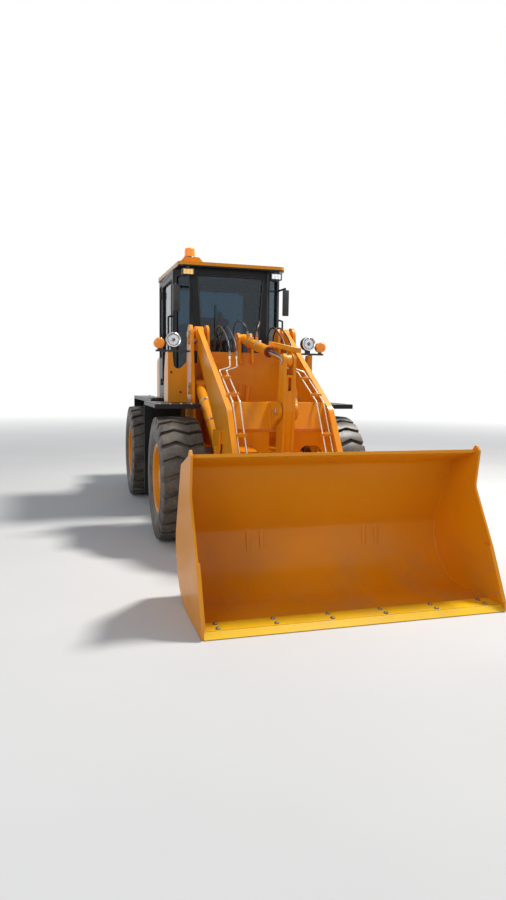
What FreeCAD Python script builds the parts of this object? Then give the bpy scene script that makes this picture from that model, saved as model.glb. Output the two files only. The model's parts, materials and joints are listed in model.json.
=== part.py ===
import FreeCAD, Part
import math
import os

os.makedirs("parts", exist_ok=True)

# Frame: millimetres, +Z up, the machine drives towards -Y and its left side is +X.
# Places below are measured from the articulation pivot; every solid is moved by SHIFT_Y at the end,
# so that the origin lies on the ground under the middle of the machine's box.

# Driving dimensions
WHEELBASE = 2600.0
TRACK = 1560.0
TYRE_D = 1180.0
TYRE_W = 410.0
LUG_BANDS = 24
LUG_DEPTH = 26.0
LUG_LENGTH = 100.0
LUG_DROP = 4.0
RIM_SEAT_X = 149.7
RIM_SEAT_R = 305.7
BUCKET_W = 2080.0
BUCKET_DEPTH = 930.0
TAIL = 2630.0
BUCKET_LIFT = 3.0
SEAT_GAP = 0.3
FIT = 0.05

BUCKET_HEEL = -2935.0
REACH = BUCKET_DEPTH - BUCKET_HEEL
FRONT_AXLE_Y = -WHEELBASE / 2
REAR_AXLE_Y = WHEELBASE / 2
AXLE_Z = TYRE_D / 2
WHEEL_X = TRACK / 2
SHIFT_Y = (REACH - TAIL) / 2

# Pins of the working arm, in the machine's side plane (y, z)
BOOM_PIN = (-800.0, 1985.0)
LIFT_FOOT = (-850.0, 1470.0)
LIFT_HEAD = (-1900.0, 850.0)
TILT_FOOT = (-850.0, 1950.0)
ROCKER_PIN = (-2265.0, 1270.0)
ROCKER_TOP = (-2295.0, 1685.0)
ROCKER_LOW = (-2215.0, 560.0)
BUCKET_PIN = (-2790.0, 300.0)
BUCKET_EYE = (-2850.0, 485.0)
ARM_X = 460.0
ARM_T = 50.0

# Steering: pivot at x = y = 0, one cylinder on each side
STEER_Z = 700.0
STEER_REAR = (400.0, 860.0)
STEER_FRONT = (430.0, -235.0)

# Frames
TOWER_IN = (365.0, 390.0)
TOWER_OUT = (530.0, 560.0)
FRONT_BEAM_X = (190.0, 215.0)
REAR_BEAM_X = (330.0, 355.0)
BEAM_STEP_Y = 900.0
FRAME_TOP = 930.0
HITCH_Z = (1000.0, 480.0)
HITCH_T = 40.0
HITCH_PIN_R = 35.0
JOINT_BALL_R = 30.0

# Tow pin bore in the counterweight
TOW_PIN_Y = TAIL - 60.0
TOW_PIN_R = 22.0
WEIGHT_Z = (520.0, 990.0)

# Deck, tanks and steps beside the cab; the tanks stay clear of the steering cylinders' sweep
DECK_TOP = 1302.0
STEP_X = 840.0
TANK_X = 580.0

# Cab
CAB_FRONT = -300.0
CAB_REAR = 950.0
CAB_HALF = 620.0
CAB_NOSE_HALF = 420.0
CAB_CORNER_Y = -130.0
CAB_FLOOR = 1330.0
ROOF_Z = 2740.0
ROOF_SLAB = 50.0
ROOF_CROWN = 25.0
BEACON = (180.0 - CAB_HALF, CAB_FRONT + 120.0)
BEACON_PAD = 62.0
BEACON_H = 118.0
WALL = 40.0
GLASS_T = 6.0


def vec(x, y, z):
    return FreeCAD.Vector(x, y, z)


def box(x0, x1, y0, y1, z0, z1):
    return Part.makeBox(x1 - x0, y1 - y0, z1 - z0, vec(x0, y0, z0))


def both(shape):
    """The shape and its mirror image on the other side of the machine."""
    return [shape, shape.mirror(vec(0, 0, 0), vec(1, 0, 0))]


def rod_x(x0, x1, y, z, r):
    return Part.makeCylinder(r, x1 - x0, vec(x0, y, z), vec(1, 0, 0))


def rod_y(x, y0, y1, z, r):
    return Part.makeCylinder(r, y1 - y0, vec(x, y0, z), vec(0, 1, 0))


def rod_z(x, y, z0, z1, r):
    return Part.makeCylinder(r, z1 - z0, vec(x, y, z0), vec(0, 0, 1))


def rod(a, b, r):
    """A round bar from point a to point b."""
    start = vec(*a)
    way = vec(*b) - start
    return Part.makeCylinder(r, way.Length, start, way)


def fuse(shapes):
    whole = shapes[0]
    if len(shapes) > 1:
        whole = whole.fuse(shapes[1:])
    return whole.removeSplitter()


def cut(shape, tools):
    for tool in tools:
        shape = shape.cut(tool)
    return shape


def outline(points):
    """A closed wire through points of one plane; a point (a, b, radius) is a rounded corner."""
    edges = []
    ends = []
    count = len(points)
    for i in range(count):
        here = points[i]
        corner = vec(here[0], here[1], 0)
        if len(here) < 3:
            ends.append((corner, corner, None))
            continue
        before = vec(points[i - 1][0], points[i - 1][1], 0) - corner
        after = vec(points[(i + 1) % count][0], points[(i + 1) % count][1], 0) - corner
        before.normalize()
        after.normalize()
        half = before.getAngle(after) / 2
        reach = here[2] / math.tan(half)
        middle = before + after
        middle.normalize()
        centre = corner + middle * (here[2] / math.sin(half))
        crown = centre - middle * here[2]
        ends.append((corner + before * reach, corner + after * reach, crown))
    for i in range(count):
        start, end, crown = ends[i]
        if crown is not None:
            edges.append(Part.Arc(start, crown, end).toShape())
        edges.append(Part.LineSegment(end, ends[(i + 1) % count][0]).toShape())
    return Part.Wire(edges)


def plate_x(points, x0, x1):
    """A plate across the machine, its outline given in the side plane (y, z)."""
    face = Part.Face(outline(points))
    solid = face.extrude(vec(0, 0, x1 - x0))
    solid.rotate(vec(0, 0, 0), vec(1, 1, 1), 120)
    solid.translate(vec(x0, 0, 0))
    return solid


def plate_z(points, z0, z1):
    """A plate lying flat, its outline given in plan (x, y)."""
    solid = Part.Face(outline(points)).extrude(vec(0, 0, z1 - z0))
    solid.translate(vec(0, 0, z0))
    return solid


def plate_y(points, y0, y1):
    """A plate facing along the machine, its outline given from behind (x, z)."""
    solid = Part.Face(outline(points)).extrude(vec(0, 0, y1 - y0))
    solid.rotate(vec(0, 0, 0), vec(1, 0, 0), 90)
    solid.translate(vec(0, y1, 0))
    return solid


def turned_x(profile, y, z):
    """A solid of revolution about a line along X; the profile is (x, radius) pairs."""
    wire = Part.Wire(Part.makePolygon([vec(x, r, 0) for x, r in profile + profile[:1]]).Edges)
    solid = Part.Face(wire).revolve(vec(0, 0, 0), vec(1, 0, 0), 360)
    solid.translate(vec(0, y, z))
    return solid


def strap(a, b, r_a, r_b, x0, x1):
    """A flat lever with round ends between two pins of the side plane."""
    gap_y = b[0] - a[0]
    gap_z = b[1] - a[1]
    length = math.hypot(gap_y, gap_z)
    lean = math.asin((r_a - r_b) / length)
    heading = math.atan2(gap_z, gap_y)
    corners = []
    for pin, radius, side in ((a, r_a, 1), (b, r_b, 1), (b, r_b, -1), (a, r_a, -1)):
        angle = heading + side * (math.pi / 2 - lean)
        corners.append((pin[0] + radius * math.cos(angle), pin[1] + radius * math.sin(angle)))
    web = plate_x(corners, x0, x1)
    return fuse([web, rod_x(x0, x1, a[0], a[1], r_a), rod_x(x0, x1, b[0], b[1], r_b)])


def tube(points, radius, bend=None):
    """A round bar along runs joined by tangent arcs; without a bend radius an arc takes 0.45 of a run."""
    corners = [vec(*p) for p in points]
    edges = []
    start = corners[0]
    tightest = None
    for before, corner, after in zip(corners, corners[1:], corners[2:]):
        back = before - corner
        ahead = after - corner
        half_turn = (math.pi - back.getAngle(ahead)) / 2
        reach = 0.45 * min(back.Length, ahead.Length) if bend is None else bend * math.tan(half_turn)
        arc_radius = reach / math.tan(half_turn)
        tightest = arc_radius if tightest is None else min(tightest, arc_radius)
        back.normalize()
        ahead.normalize()
        inward = back + ahead
        inward.normalize()
        first = corner + back * reach
        last = corner + ahead * reach
        middle = corner + inward * (arc_radius / math.cos(half_turn) - arc_radius)
        edges.append(Part.makeLine(start, first))
        edges.append(Part.Arc(first, middle, last).toShape())
        start = last
    edges.append(Part.makeLine(start, corners[-1]))
    spine = Part.Wire(edges)
    ring = Part.Wire(Part.makeCircle(radius, corners[0], corners[1] - corners[0]))
    solid = spine.makePipeShell([ring], True, True)
    print("tube of length", round(spine.Length), "tightest bend", round(tightest),
          "volume share", round(solid.Volume / (math.pi * radius ** 2 * spine.Length), 4))
    return solid


def save(name, solids):
    """Write one node; its solids are moved into the part's own frame."""
    shapes = []
    for solid in solids:
        moved = solid.copy()
        moved.translate(vec(0, SHIFT_Y, 0))
        shapes.extend(moved.Solids)
    for shape in shapes:
        if not shape.isValid():
            raise ValueError(name + " has a solid that is not valid")
    whole = shapes[0] if len(shapes) == 1 else Part.makeCompound(shapes)
    whole.exportStep("parts/" + name + ".step")


def tyre_profile():
    """Half of the tyre's section as (x, radius), from the bead to the edge of the groove floor."""
    half = TYRE_W / 2
    floor = TYRE_D / 2 - LUG_DEPTH
    return [(RIM_SEAT_X, RIM_SEAT_R + SEAT_GAP), (RIM_SEAT_X, 331), (178, 340), (half, 430), (half, 480),
            (half - 16, floor - 22), (half - 55, floor)]


def tread_ring(half_section):
    """A tyre of LUG_BANDS flat facets with a zigzag lug bar on each; its axis is X."""
    sector = 2 * math.pi / LUG_BANDS
    widen = 1 / math.cos(sector / 2)
    section = half_section + [(-x, r) for x, r in half_section[::-1]]
    rings = []
    for number in range(LUG_BANDS + 1):
        angle = sector * (number % LUG_BANDS)
        rings.append([vec(x, r * widen * math.sin(angle), r * widen * math.cos(angle)) for x, r in section])
    faces = []
    for near, far in zip(rings, rings[1:]):
        for i in range(len(section)):
            j = (i + 1) % len(section)
            faces.append(Part.Face(Part.makePolygon([near[i], near[j], far[j], far[i], near[i]])))
    carcass = Part.makeSolid(Part.makeShell(faces))
    top = TYRE_D / 2 - LUG_DROP
    edge = TYRE_W / 2 - 14
    zigzag = [(-edge, 8), (-edge / 3, -16), (edge / 3, 16), (edge, -8)]
    plan = [(x, y - LUG_LENGTH / 2) for x, y in zigzag] + [(x, y + LUG_LENGTH / 2) for x, y in zigzag[::-1]]
    bar = plate_z(plan, top - LUG_DEPTH - 12, top)
    lugs = []
    for number in range(LUG_BANDS):
        lug = bar.copy()
        lug.rotate(vec(0, 0, 0), vec(1, 0, 0), math.degrees(sector * (number + 0.5)))
        lugs.append(lug)
    return fuse([carcass] + lugs)


def wheel(side, axle_y):
    """Tyre and rim of one wheel; side is 1 on the left and -1 on the right."""
    tyre = tread_ring(tyre_profile())
    seat_x = RIM_SEAT_X + SEAT_GAP
    rim_profile = [(-165, 330), (-seat_x, 330), (-seat_x, RIM_SEAT_R), (seat_x, RIM_SEAT_R), (seat_x, 330)]
    rim_profile.append((165, 330))
    rim_profile += [(165, 292), (60, 276), (30, 276), (30, 150), (120, 150), (140, 130), (140, 0)]
    rim_profile += [(70, 0), (70, 70 + FIT), (-60, 70 + FIT), (-60, 150), (14, 150), (14, 276), (-165, 292)]
    rim = turned_x(rim_profile, 0, 0)
    solids = []
    for solid in (tyre, rim):
        if side < 0:
            solid = solid.mirror(vec(0, 0, 0), vec(1, 0, 0))
        solid.translate(vec(side * WHEEL_X, axle_y, AXLE_Z))
        solids.append(solid)
    return solids


def make_wheels():
    for place, axle_y in (("front", FRONT_AXLE_Y), ("rear", REAR_AXLE_Y)):
        for name, side in (("left", 1), ("right", -1)):
            tyre, rim = wheel(side, axle_y)
            save("tyre_" + place + "_" + name, [tyre])
            save("rim_" + place + "_" + name, [rim])


def axle(axle_y, nose_side):
    """Axle housing with its middle bulge, brake drums, spindles and pinion nose."""
    half = [(840, 0), (840, 70), (700, 70), (700, 175), (600, 175), (580, 95), (300, 95), (170, 185)]
    half.append((0, 195))
    profile = [(-x, r) for x, r in half[:-1]] + half[::-1]
    housing = turned_x(profile, axle_y, AXLE_Z)
    nose = rod_y(0, min(0, nose_side * 300), max(0, nose_side * 300), AXLE_Z, 90)
    nose.translate(vec(0, axle_y, 0))
    flange_y = sorted((nose_side * 300, nose_side * 325))
    flange = rod_y(0, flange_y[0], flange_y[1], AXLE_Z, 65)
    flange.translate(vec(0, axle_y, 0))
    return fuse([housing, nose, flange])


def saddles(axle_y, x0, x1, top):
    """Blocks between the axle housing and the frame beams."""
    block = box(x0 - 15, x1 + 15, axle_y - 80, axle_y + 80, AXLE_Z + 20, top)
    tube = rod_x(0, 600, axle_y, AXLE_Z, 95)
    return both(block.cut(tube))


def hitch_lug(y_root, z0, z1, bored):
    """A tongue from a cross plate to the articulation pivot."""
    root = 170.0
    tip = 95.0
    corners = [(-root, y_root), (root, y_root), (tip, 0), (-tip, 0)]
    if y_root > 0:
        corners = corners[::-1]
    tongue = fuse([plate_z(corners, z0, z1), rod_z(0, 0, z0, z1, tip)])
    if bored:
        tongue = tongue.cut(rod_z(0, 0, z0 - 1, z1 + 1, HITCH_PIN_R + FIT))
    return tongue


def make_rear_chassis():
    y0 = 230.0
    y1 = 2420.0
    front_beam = [(y0, 425), (y0, 1055), (520, 1055), (700, FRAME_TOP), (BEAM_STEP_Y + 25, FRAME_TOP)]
    front_beam += [(BEAM_STEP_Y + 25, 560), (520, 560), (420, 425)]
    rear_beam = [(BEAM_STEP_Y, 560), (BEAM_STEP_Y, FRAME_TOP), (y1, FRAME_TOP), (y1, 660), (2000, 660)]
    rear_beam += [(1620, 730), (1000, 730), (960, 560)]
    solids = both(plate_x(front_beam, *FRONT_BEAM_X)) + both(plate_x(rear_beam, *REAR_BEAM_X))
    solids += both(box(FRONT_BEAM_X[0], 450, BEAM_STEP_Y, BEAM_STEP_Y + 25, 620, 780))
    solids += both(box(FRONT_BEAM_X[0], REAR_BEAM_X[1], BEAM_STEP_Y, BEAM_STEP_Y + 25, 560, FRAME_TOP))
    cross = box(-FRONT_BEAM_X[1], FRONT_BEAM_X[1], y0, y0 + 25, 425, 1055)
    solids.append(cross.cut(rod_y(0, y0 - 1, y0 + 26, AXLE_Z, 80)))
    solids.append(box(-FRONT_BEAM_X[1], FRONT_BEAM_X[1], y0, 520, 425, 445))
    solids.append(box(-REAR_BEAM_X[1], REAR_BEAM_X[1], y1 - 25, y1, 660, FRAME_TOP))
    solids.append(box(-REAR_BEAM_X[1], REAR_BEAM_X[1], 1560, 1640, 740, 800))
    for z in HITCH_Z:
        for z0 in (z - HITCH_T / 2 - 35, z + HITCH_T / 2 + 5):
            solids.append(hitch_lug(y0 + 10, z0, z0 + 30, False))
        solids.append(rod_z(0, 0, z - 62, z + 57, HITCH_PIN_R))
    for z0 in (STEER_Z - 60, STEER_Z + 40):
        ear = fuse([box(345, 455, STEER_REAR[1], BEAM_STEP_Y + 10, z0, z0 + 20),
                    rod_z(STEER_REAR[0], STEER_REAR[1], z0, z0 + 20, 55)])
        solids += both(ear)
    solids += both(rod_z(STEER_REAR[0], STEER_REAR[1], STEER_Z - 60, STEER_Z + 60, 20))
    solids += saddles(REAR_AXLE_Y, REAR_BEAM_X[0], REAR_BEAM_X[1], 740)
    shelf = [(REAR_BEAM_X[0], 1000), (520, 1000), (520, 2250), (REAR_BEAM_X[0], 2250)]
    solids += both(plate_z(shelf, FRAME_TOP - 20, FRAME_TOP))
    for y in (340, 800):
        solids += both(box(180, 250, y, y + 80, FRAME_TOP - 60, 1250))
    return fuse(solids)


def make_rear_frame():
    save("rear_chassis", [make_rear_chassis()])
    save("rear_axle", [axle(REAR_AXLE_Y, -1)])
    engine = fuse([box(-250, 250, 1450, 2230, 810, 1500)] + both(box(240, 330, 1600, 1700, 820, 880))
                  + both(box(240, 330, 2050, 2150, 820, 880)))
    reach = JOINT_BALL_R + 5
    tines = [box(-22, 22, -18, 70, AXLE_Z + reach, AXLE_Z + reach + 12),
             box(-22, 22, -18, 70, AXLE_Z - reach - 12, AXLE_Z - reach)]
    hub = rod_y(0, 60, 90, AXLE_Z, reach + 12)
    gear_rear = REAR_AXLE_Y - 440
    foot_y = gear_rear - 300
    gearbox = fuse([box(-170, 170, gear_rear - 440, gear_rear, 540, 1150), hub] + tines
                   + [rod_y(0, 60, gear_rear - 430, AXLE_Z, 38)]
                   + both(box(160, 190, foot_y, foot_y + 100, 700, 760)))
    rear_shaft = rod_y(0, gear_rear, REAR_AXLE_Y - 325, AXLE_Z, 38)
    save("engine_and_gearbox", [engine, gearbox, rear_shaft])
    block = [(-700, 2080), (-560, 2080), (-560, 2420), (560, 2420), (560, 2080), (700, 2080)]
    block += [(700, TAIL - 26, 90), (-700, TAIL - 26, 90)]
    mass = plate_z(block, *WEIGHT_Z)
    recess = box(-110, 110, TAIL - 170, TAIL + 1, 600, 700)
    mass = mass.cut(recess)
    mass = mass.cut(rod_z(0, TOW_PIN_Y, 500, 1000, TOW_PIN_R))
    save("counterweight", [mass])


def make_hood():
    y0 = 1000.0
    y1 = TAIL - 110
    half = 440.0
    top = 1900.0
    skin = 14.0
    outer = plate_y([(-half, FRAME_TOP), (half, FRAME_TOP), (half, top, 110), (-half, top, 110)], y0, y1)
    inner = plate_y([(-half + skin, FRAME_TOP - 1), (half - skin, FRAME_TOP - 1),
                     (half - skin, top - skin, 96), (-half + skin, top - skin, 96)], y0 + skin, y1 - skin)
    hood = outer.cut(inner)
    hood = hood.cut(box(-half - 1, half + 1, 2420 - SEAT_GAP, y1 + 1, FRAME_TOP - 1, WEIGHT_Z[1]))
    hood = hood.cut(box(-340, 340, y1 - skin - 1, y1 + 1, 1080, 1780))
    for row in range(8):
        z = 1150 + row * 65
        for start in (1250, 1800):
            hood = cut(hood, both(box(half - skin - 1, half + 1, start, start + 380, z, z + 25)))
    save("hood", [hood])
    grille = [box(-340, 340, y1 - skin, y1, 1080, 1110), box(-340, 340, y1 - skin, y1, 1750, 1780)]
    grille += both(box(310, 340, y1 - skin, y1, 1080, 1780))
    for row in range(14):
        z = 1140 + row * 43
        grille.append(box(-315, 315, y1 - skin + 2, y1 - 2, z, z + 16))
    save("grille", [fuse(grille)])


def make_platform():
    deck_z = DECK_TOP - 52
    arch_front = REAR_AXLE_Y - 640
    arch_rear = REAR_AXLE_Y + 660
    edge = 12
    deck = [box(-CAB_HALF, CAB_HALF, -80, 1000, deck_z, DECK_TOP)]
    deck += both(box(CAB_HALF - 20, STEP_X, 80, arch_front - edge, deck_z, DECK_TOP))
    save("cab_deck", [fuse(deck)])
    fender = fuse([box(CAB_HALF, STEP_X, arch_front, arch_rear, DECK_TOP - edge, DECK_TOP),
                   box(CAB_HALF, STEP_X, arch_rear, arch_rear + edge, 1120, DECK_TOP),
                   box(CAB_HALF, STEP_X, arch_front - edge, arch_front, 1120, DECK_TOP),
                   box(STEP_X - edge, STEP_X, arch_front - edge, arch_rear + edge, DECK_TOP - 40, DECK_TOP)])
    save("rear_fenders", both(fender))
    tank_out = STEP_X - 80
    tank_rear = arch_front - 40
    tank = plate_y([(TANK_X, 520, 40), (tank_out, 520, 60), (tank_out, 1040, 60), (TANK_X, 1040, 40)], 150,
                   tank_rear)
    steps = [tank, box(TANK_X + 20, TANK_X + 80, tank_rear - 320, tank_rear - 120, 1030, deck_z)]
    for z in (420, 760):
        steps.append(box(tank_out - 10, STEP_X, 180, tank_rear - 30, z, z + 25))
    for y in (180, tank_rear - 30 - edge):
        steps.append(box(STEP_X - 50, STEP_X, y, y + edge, 420, deck_z))
    save("tanks_and_steps", both(fuse(steps)))


def cab_plan(inset):
    nose = CAB_NOSE_HALF - inset * 0.45
    side = CAB_HALF - inset
    return [(-nose, CAB_FRONT + inset), (nose, CAB_FRONT + inset), (side, CAB_CORNER_Y + inset * 0.4),
            (side, CAB_REAR - inset), (-side, CAB_REAR - inset), (-side, CAB_CORNER_Y + inset * 0.4)]


DOOR_Y = (-100.0, 690.0)
DOOR_Z = (1360.0, 2700.0)
DOOR_GAP = 5.0
HINGE = (CAB_HALF + 12, DOOR_Y[1])
HINGE_Z = (1500.0, 2050.0, 2550.0)


def make_cab():
    z0 = DECK_TOP
    shell = plate_z(cab_plan(0), z0, ROOF_Z).cut(plate_z(cab_plan(WALL), z0 + WALL, ROOF_Z + 1))
    front_pane = [(-300, 1600), (300, 1600), (375, 2670), (-375, 2670)]
    shell = shell.cut(plate_y(front_pane, CAB_FRONT - 1, CAB_FRONT + WALL + 1))
    shell = shell.cut(box(-480, 480, CAB_REAR - WALL - 1, CAB_REAR + 1, 1950, 2670))
    for side in both(box(CAB_HALF - WALL - 1, CAB_HALF + 1, DOOR_Y[0] - DOOR_GAP, DOOR_Y[1] + DOOR_GAP,
                         DOOR_Z[0] - DOOR_GAP, DOOR_Z[1] + DOOR_GAP)):
        shell = shell.cut(side)
    for side in both(box(CAB_HALF - WALL - 1, CAB_HALF + 1, DOOR_Y[1] + 60, CAB_REAR - 60, 1800, 2670)):
        shell = shell.cut(side)
    corner_run = math.hypot(CAB_HALF - CAB_NOSE_HALF, CAB_CORNER_Y - CAB_FRONT)
    turn = math.degrees(math.atan2(CAB_CORNER_Y - CAB_FRONT, CAB_HALF - CAB_NOSE_HALF))
    corner_hole = box(45, corner_run - 45, -60, 100, 1600, 2670)
    corner_pane = box(45, corner_run - 45, 16, 16 + GLASS_T, 1600, 2670)
    for solid in (corner_hole, corner_pane):
        solid.rotate(vec(0, 0, 0), vec(0, 0, 1), turn)
        solid.translate(vec(CAB_NOSE_HALF, CAB_FRONT, 0))
    for side in both(corner_hole):
        shell = shell.cut(side)
    knuckles = []
    for z in HINGE_Z:
        for base in (z - 40, z + 16):
            knuckles.append(rod_z(HINGE[0], HINGE[1] + 2, base, base + 24, 10))
            knuckles.append(box(CAB_HALF, HINGE[0], HINGE[1] + 6, HINGE[1] + 40, base, base + 24))
        knuckles.append(rod_z(HINGE[0], HINGE[1] + 2, z - 40, z + 40, 5))
    hinges = fuse(knuckles[:5])
    for i in range(5, len(knuckles), 5):
        hinges = hinges.fuse(knuckles[i:i + 5])
    shell = shell.fuse(both(hinges))
    save("cab_shell", [shell])
    windscreen = plate_y(front_pane, CAB_FRONT + 16, CAB_FRONT + 16 + GLASS_T)
    rear_glass = box(-480, 480, CAB_REAR - 22, CAB_REAR - 16, 1950, 2670)
    quarter = box(CAB_HALF - 22, CAB_HALF - 16, DOOR_Y[1] + 60, CAB_REAR - 60, 1800, 2670)
    save("cab_glass", [windscreen, rear_glass] + both(quarter) + both(corner_pane))
    panel = box(CAB_HALF - WALL, CAB_HALF, DOOR_Y[0], DOOR_Y[1], DOOR_Z[0], DOOR_Z[1])
    pane_y = (DOOR_Y[0] + 60, DOOR_Y[1] - 60)
    hole = plate_x([(pane_y[0], 1500), (pane_y[1], 1500), (pane_y[1], 2640), (pane_y[0], 2640)],
                   CAB_HALF - WALL - 1, CAB_HALF + 1)
    panel = panel.cut(hole)
    door = [panel]
    for z in HINGE_Z:
        ring = fuse([rod_z(HINGE[0], HINGE[1] + 2, z - 15.5, z + 15.5, 10),
                     box(CAB_HALF - 1, HINGE[0], HINGE[1] - 40, HINGE[1] - 2, z - 15.5, z + 15.5)])
        door.append(ring.cut(rod_z(HINGE[0], HINGE[1] + 2, z - 20, z + 20, 5 + FIT)))
    door.append(box(CAB_HALF - 1, CAB_HALF + 30, DOOR_Y[0] + 15, DOOR_Y[0] + 40, 1700, 1720))
    door.append(box(CAB_HALF + 20, CAB_HALF + 30, DOOR_Y[0] + 15, DOOR_Y[0] + 40, 1700, 1860))
    door.append(box(CAB_HALF - 1, CAB_HALF + 30, DOOR_Y[0] + 15, DOOR_Y[0] + 40, 1840, 1860))
    door = fuse(door)
    pane = box(CAB_HALF - 22, CAB_HALF - 16, DOOR_Y[0] + 60, DOOR_Y[1] - 60, 1500, 2640)
    for name, solid, glass in zip(("left", "right"), both(door), both(pane)):
        save("door_" + name, [solid])
        save("door_glass_" + name, [glass])


def make_roof():
    base = [(-600, -400, 60), (600, -400, 60), (CAB_HALF + 20, 980, 80), (-CAB_HALF - 20, 980, 80)]
    top = [(-440, -240, 60), (440, -240, 60), (460, 820, 80), (-460, 820, 80)]
    slab_z = ROOF_Z + ROOF_SLAB
    lower = plate_z(base, ROOF_Z, slab_z)
    low_wire = outline(base)
    low_wire.translate(vec(0, 0, slab_z))
    high_wire = outline(top)
    high_wire.translate(vec(0, 0, slab_z + ROOF_CROWN))
    crown = Part.makeLoft([low_wire, high_wire], True, True)
    beacon_x, beacon_y = BEACON
    pad_z = slab_z + BEACON_PAD
    pad = [(beacon_x - 130, slab_z - 5), (beacon_x - 80, pad_z), (beacon_x + 80, pad_z)]
    pad.append((beacon_x + 140, slab_z - 5))
    save("roof", [fuse([lower, crown, plate_y(pad, beacon_y - 130, beacon_y + 120)])])
    lamps = []
    for lamp_y, stem_y in ((-400, -385), (950, 955)):
        lamps += both(fuse([box(432, 560, lamp_y, lamp_y + 60, ROOF_Z - 95, ROOF_Z - 24),
                            box(480, 510, stem_y, stem_y + 25, ROOF_Z - 24, ROOF_Z)]))
    save("roof_lamps", lamps)
    beacon = fuse([rod_z(beacon_x, beacon_y, pad_z, pad_z + 20, 70),
                   rod_z(beacon_x, beacon_y, pad_z + 20, pad_z + BEACON_H, 56)])
    save("beacon", [beacon])


def make_cab_inside():
    floor = DECK_TOP + WALL
    seat = fuse([box(-230, 230, 260, 700, 1640, 1760), box(-220, 220, 640, 760, 1740, 2330),
                 box(-150, 150, 330, 650, floor, 1650)])
    save("seat", [seat])
    column = rod((0, 65, floor + 20), (0, 130, 1900), 35)
    wheel_ring = Part.makeTorus(190, 14, vec(0, 0, 0), vec(0, 0, 1))
    spokes = [rod((-190, 0, 0), (190, 0, 0), 10), rod((0, -190, 0), (0, 190, 0), 10)]
    spokes.append(rod_z(0, 0, -60, 12, 40))
    steering = fuse([wheel_ring] + spokes)
    steering.rotate(vec(0, 0, 0), vec(1, 0, 0), 25)
    steering.translate(vec(0, 145, 1960))
    dash = box(-200, 200, -230, 20, floor, 1560)
    side_box = box(CAB_HALF - 320, CAB_HALF - 120, 300, 760, floor, 1740)
    save("console", [fuse([column, steering, box(-60, 60, 20, 120, floor, floor + 200), dash]), side_box])


def make_rear_fittings():
    stack = fuse([rod_z(230, 1250, 1900, 2380, 45), rod_z(230, 1250, 1900, 2150, 80)])
    cleaner = fuse([rod_z(-230, 1250, 1900, 2080, 45), rod_z(-230, 1250, 2080, 2230, 95)])
    save("stack_and_cleaner", [stack, cleaner])
    arm_x = CAB_HALF - 5
    arm_y = CAB_FRONT - 60
    high = ROOF_Z - 180
    arm = fuse([rod((CAB_HALF - 20, CAB_CORNER_Y - 5, high), (arm_x, arm_y, high), 11),
                rod((arm_x, arm_y, high - 300), (arm_x, arm_y, high), 11),
                box(arm_x - 32, arm_x + 38, arm_y - 22, arm_y - 8, high - 300, high - 20)])
    cab_body = plate_z(cab_plan(-SEAT_GAP), CAB_FLOOR, ROOF_Z)
    save("mirrors", both(arm.cut(cab_body)))
    lamp = box(480, 600, TAIL - 26, TAIL, 860, 950)
    save("tail_lamps", both(lamp))


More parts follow.
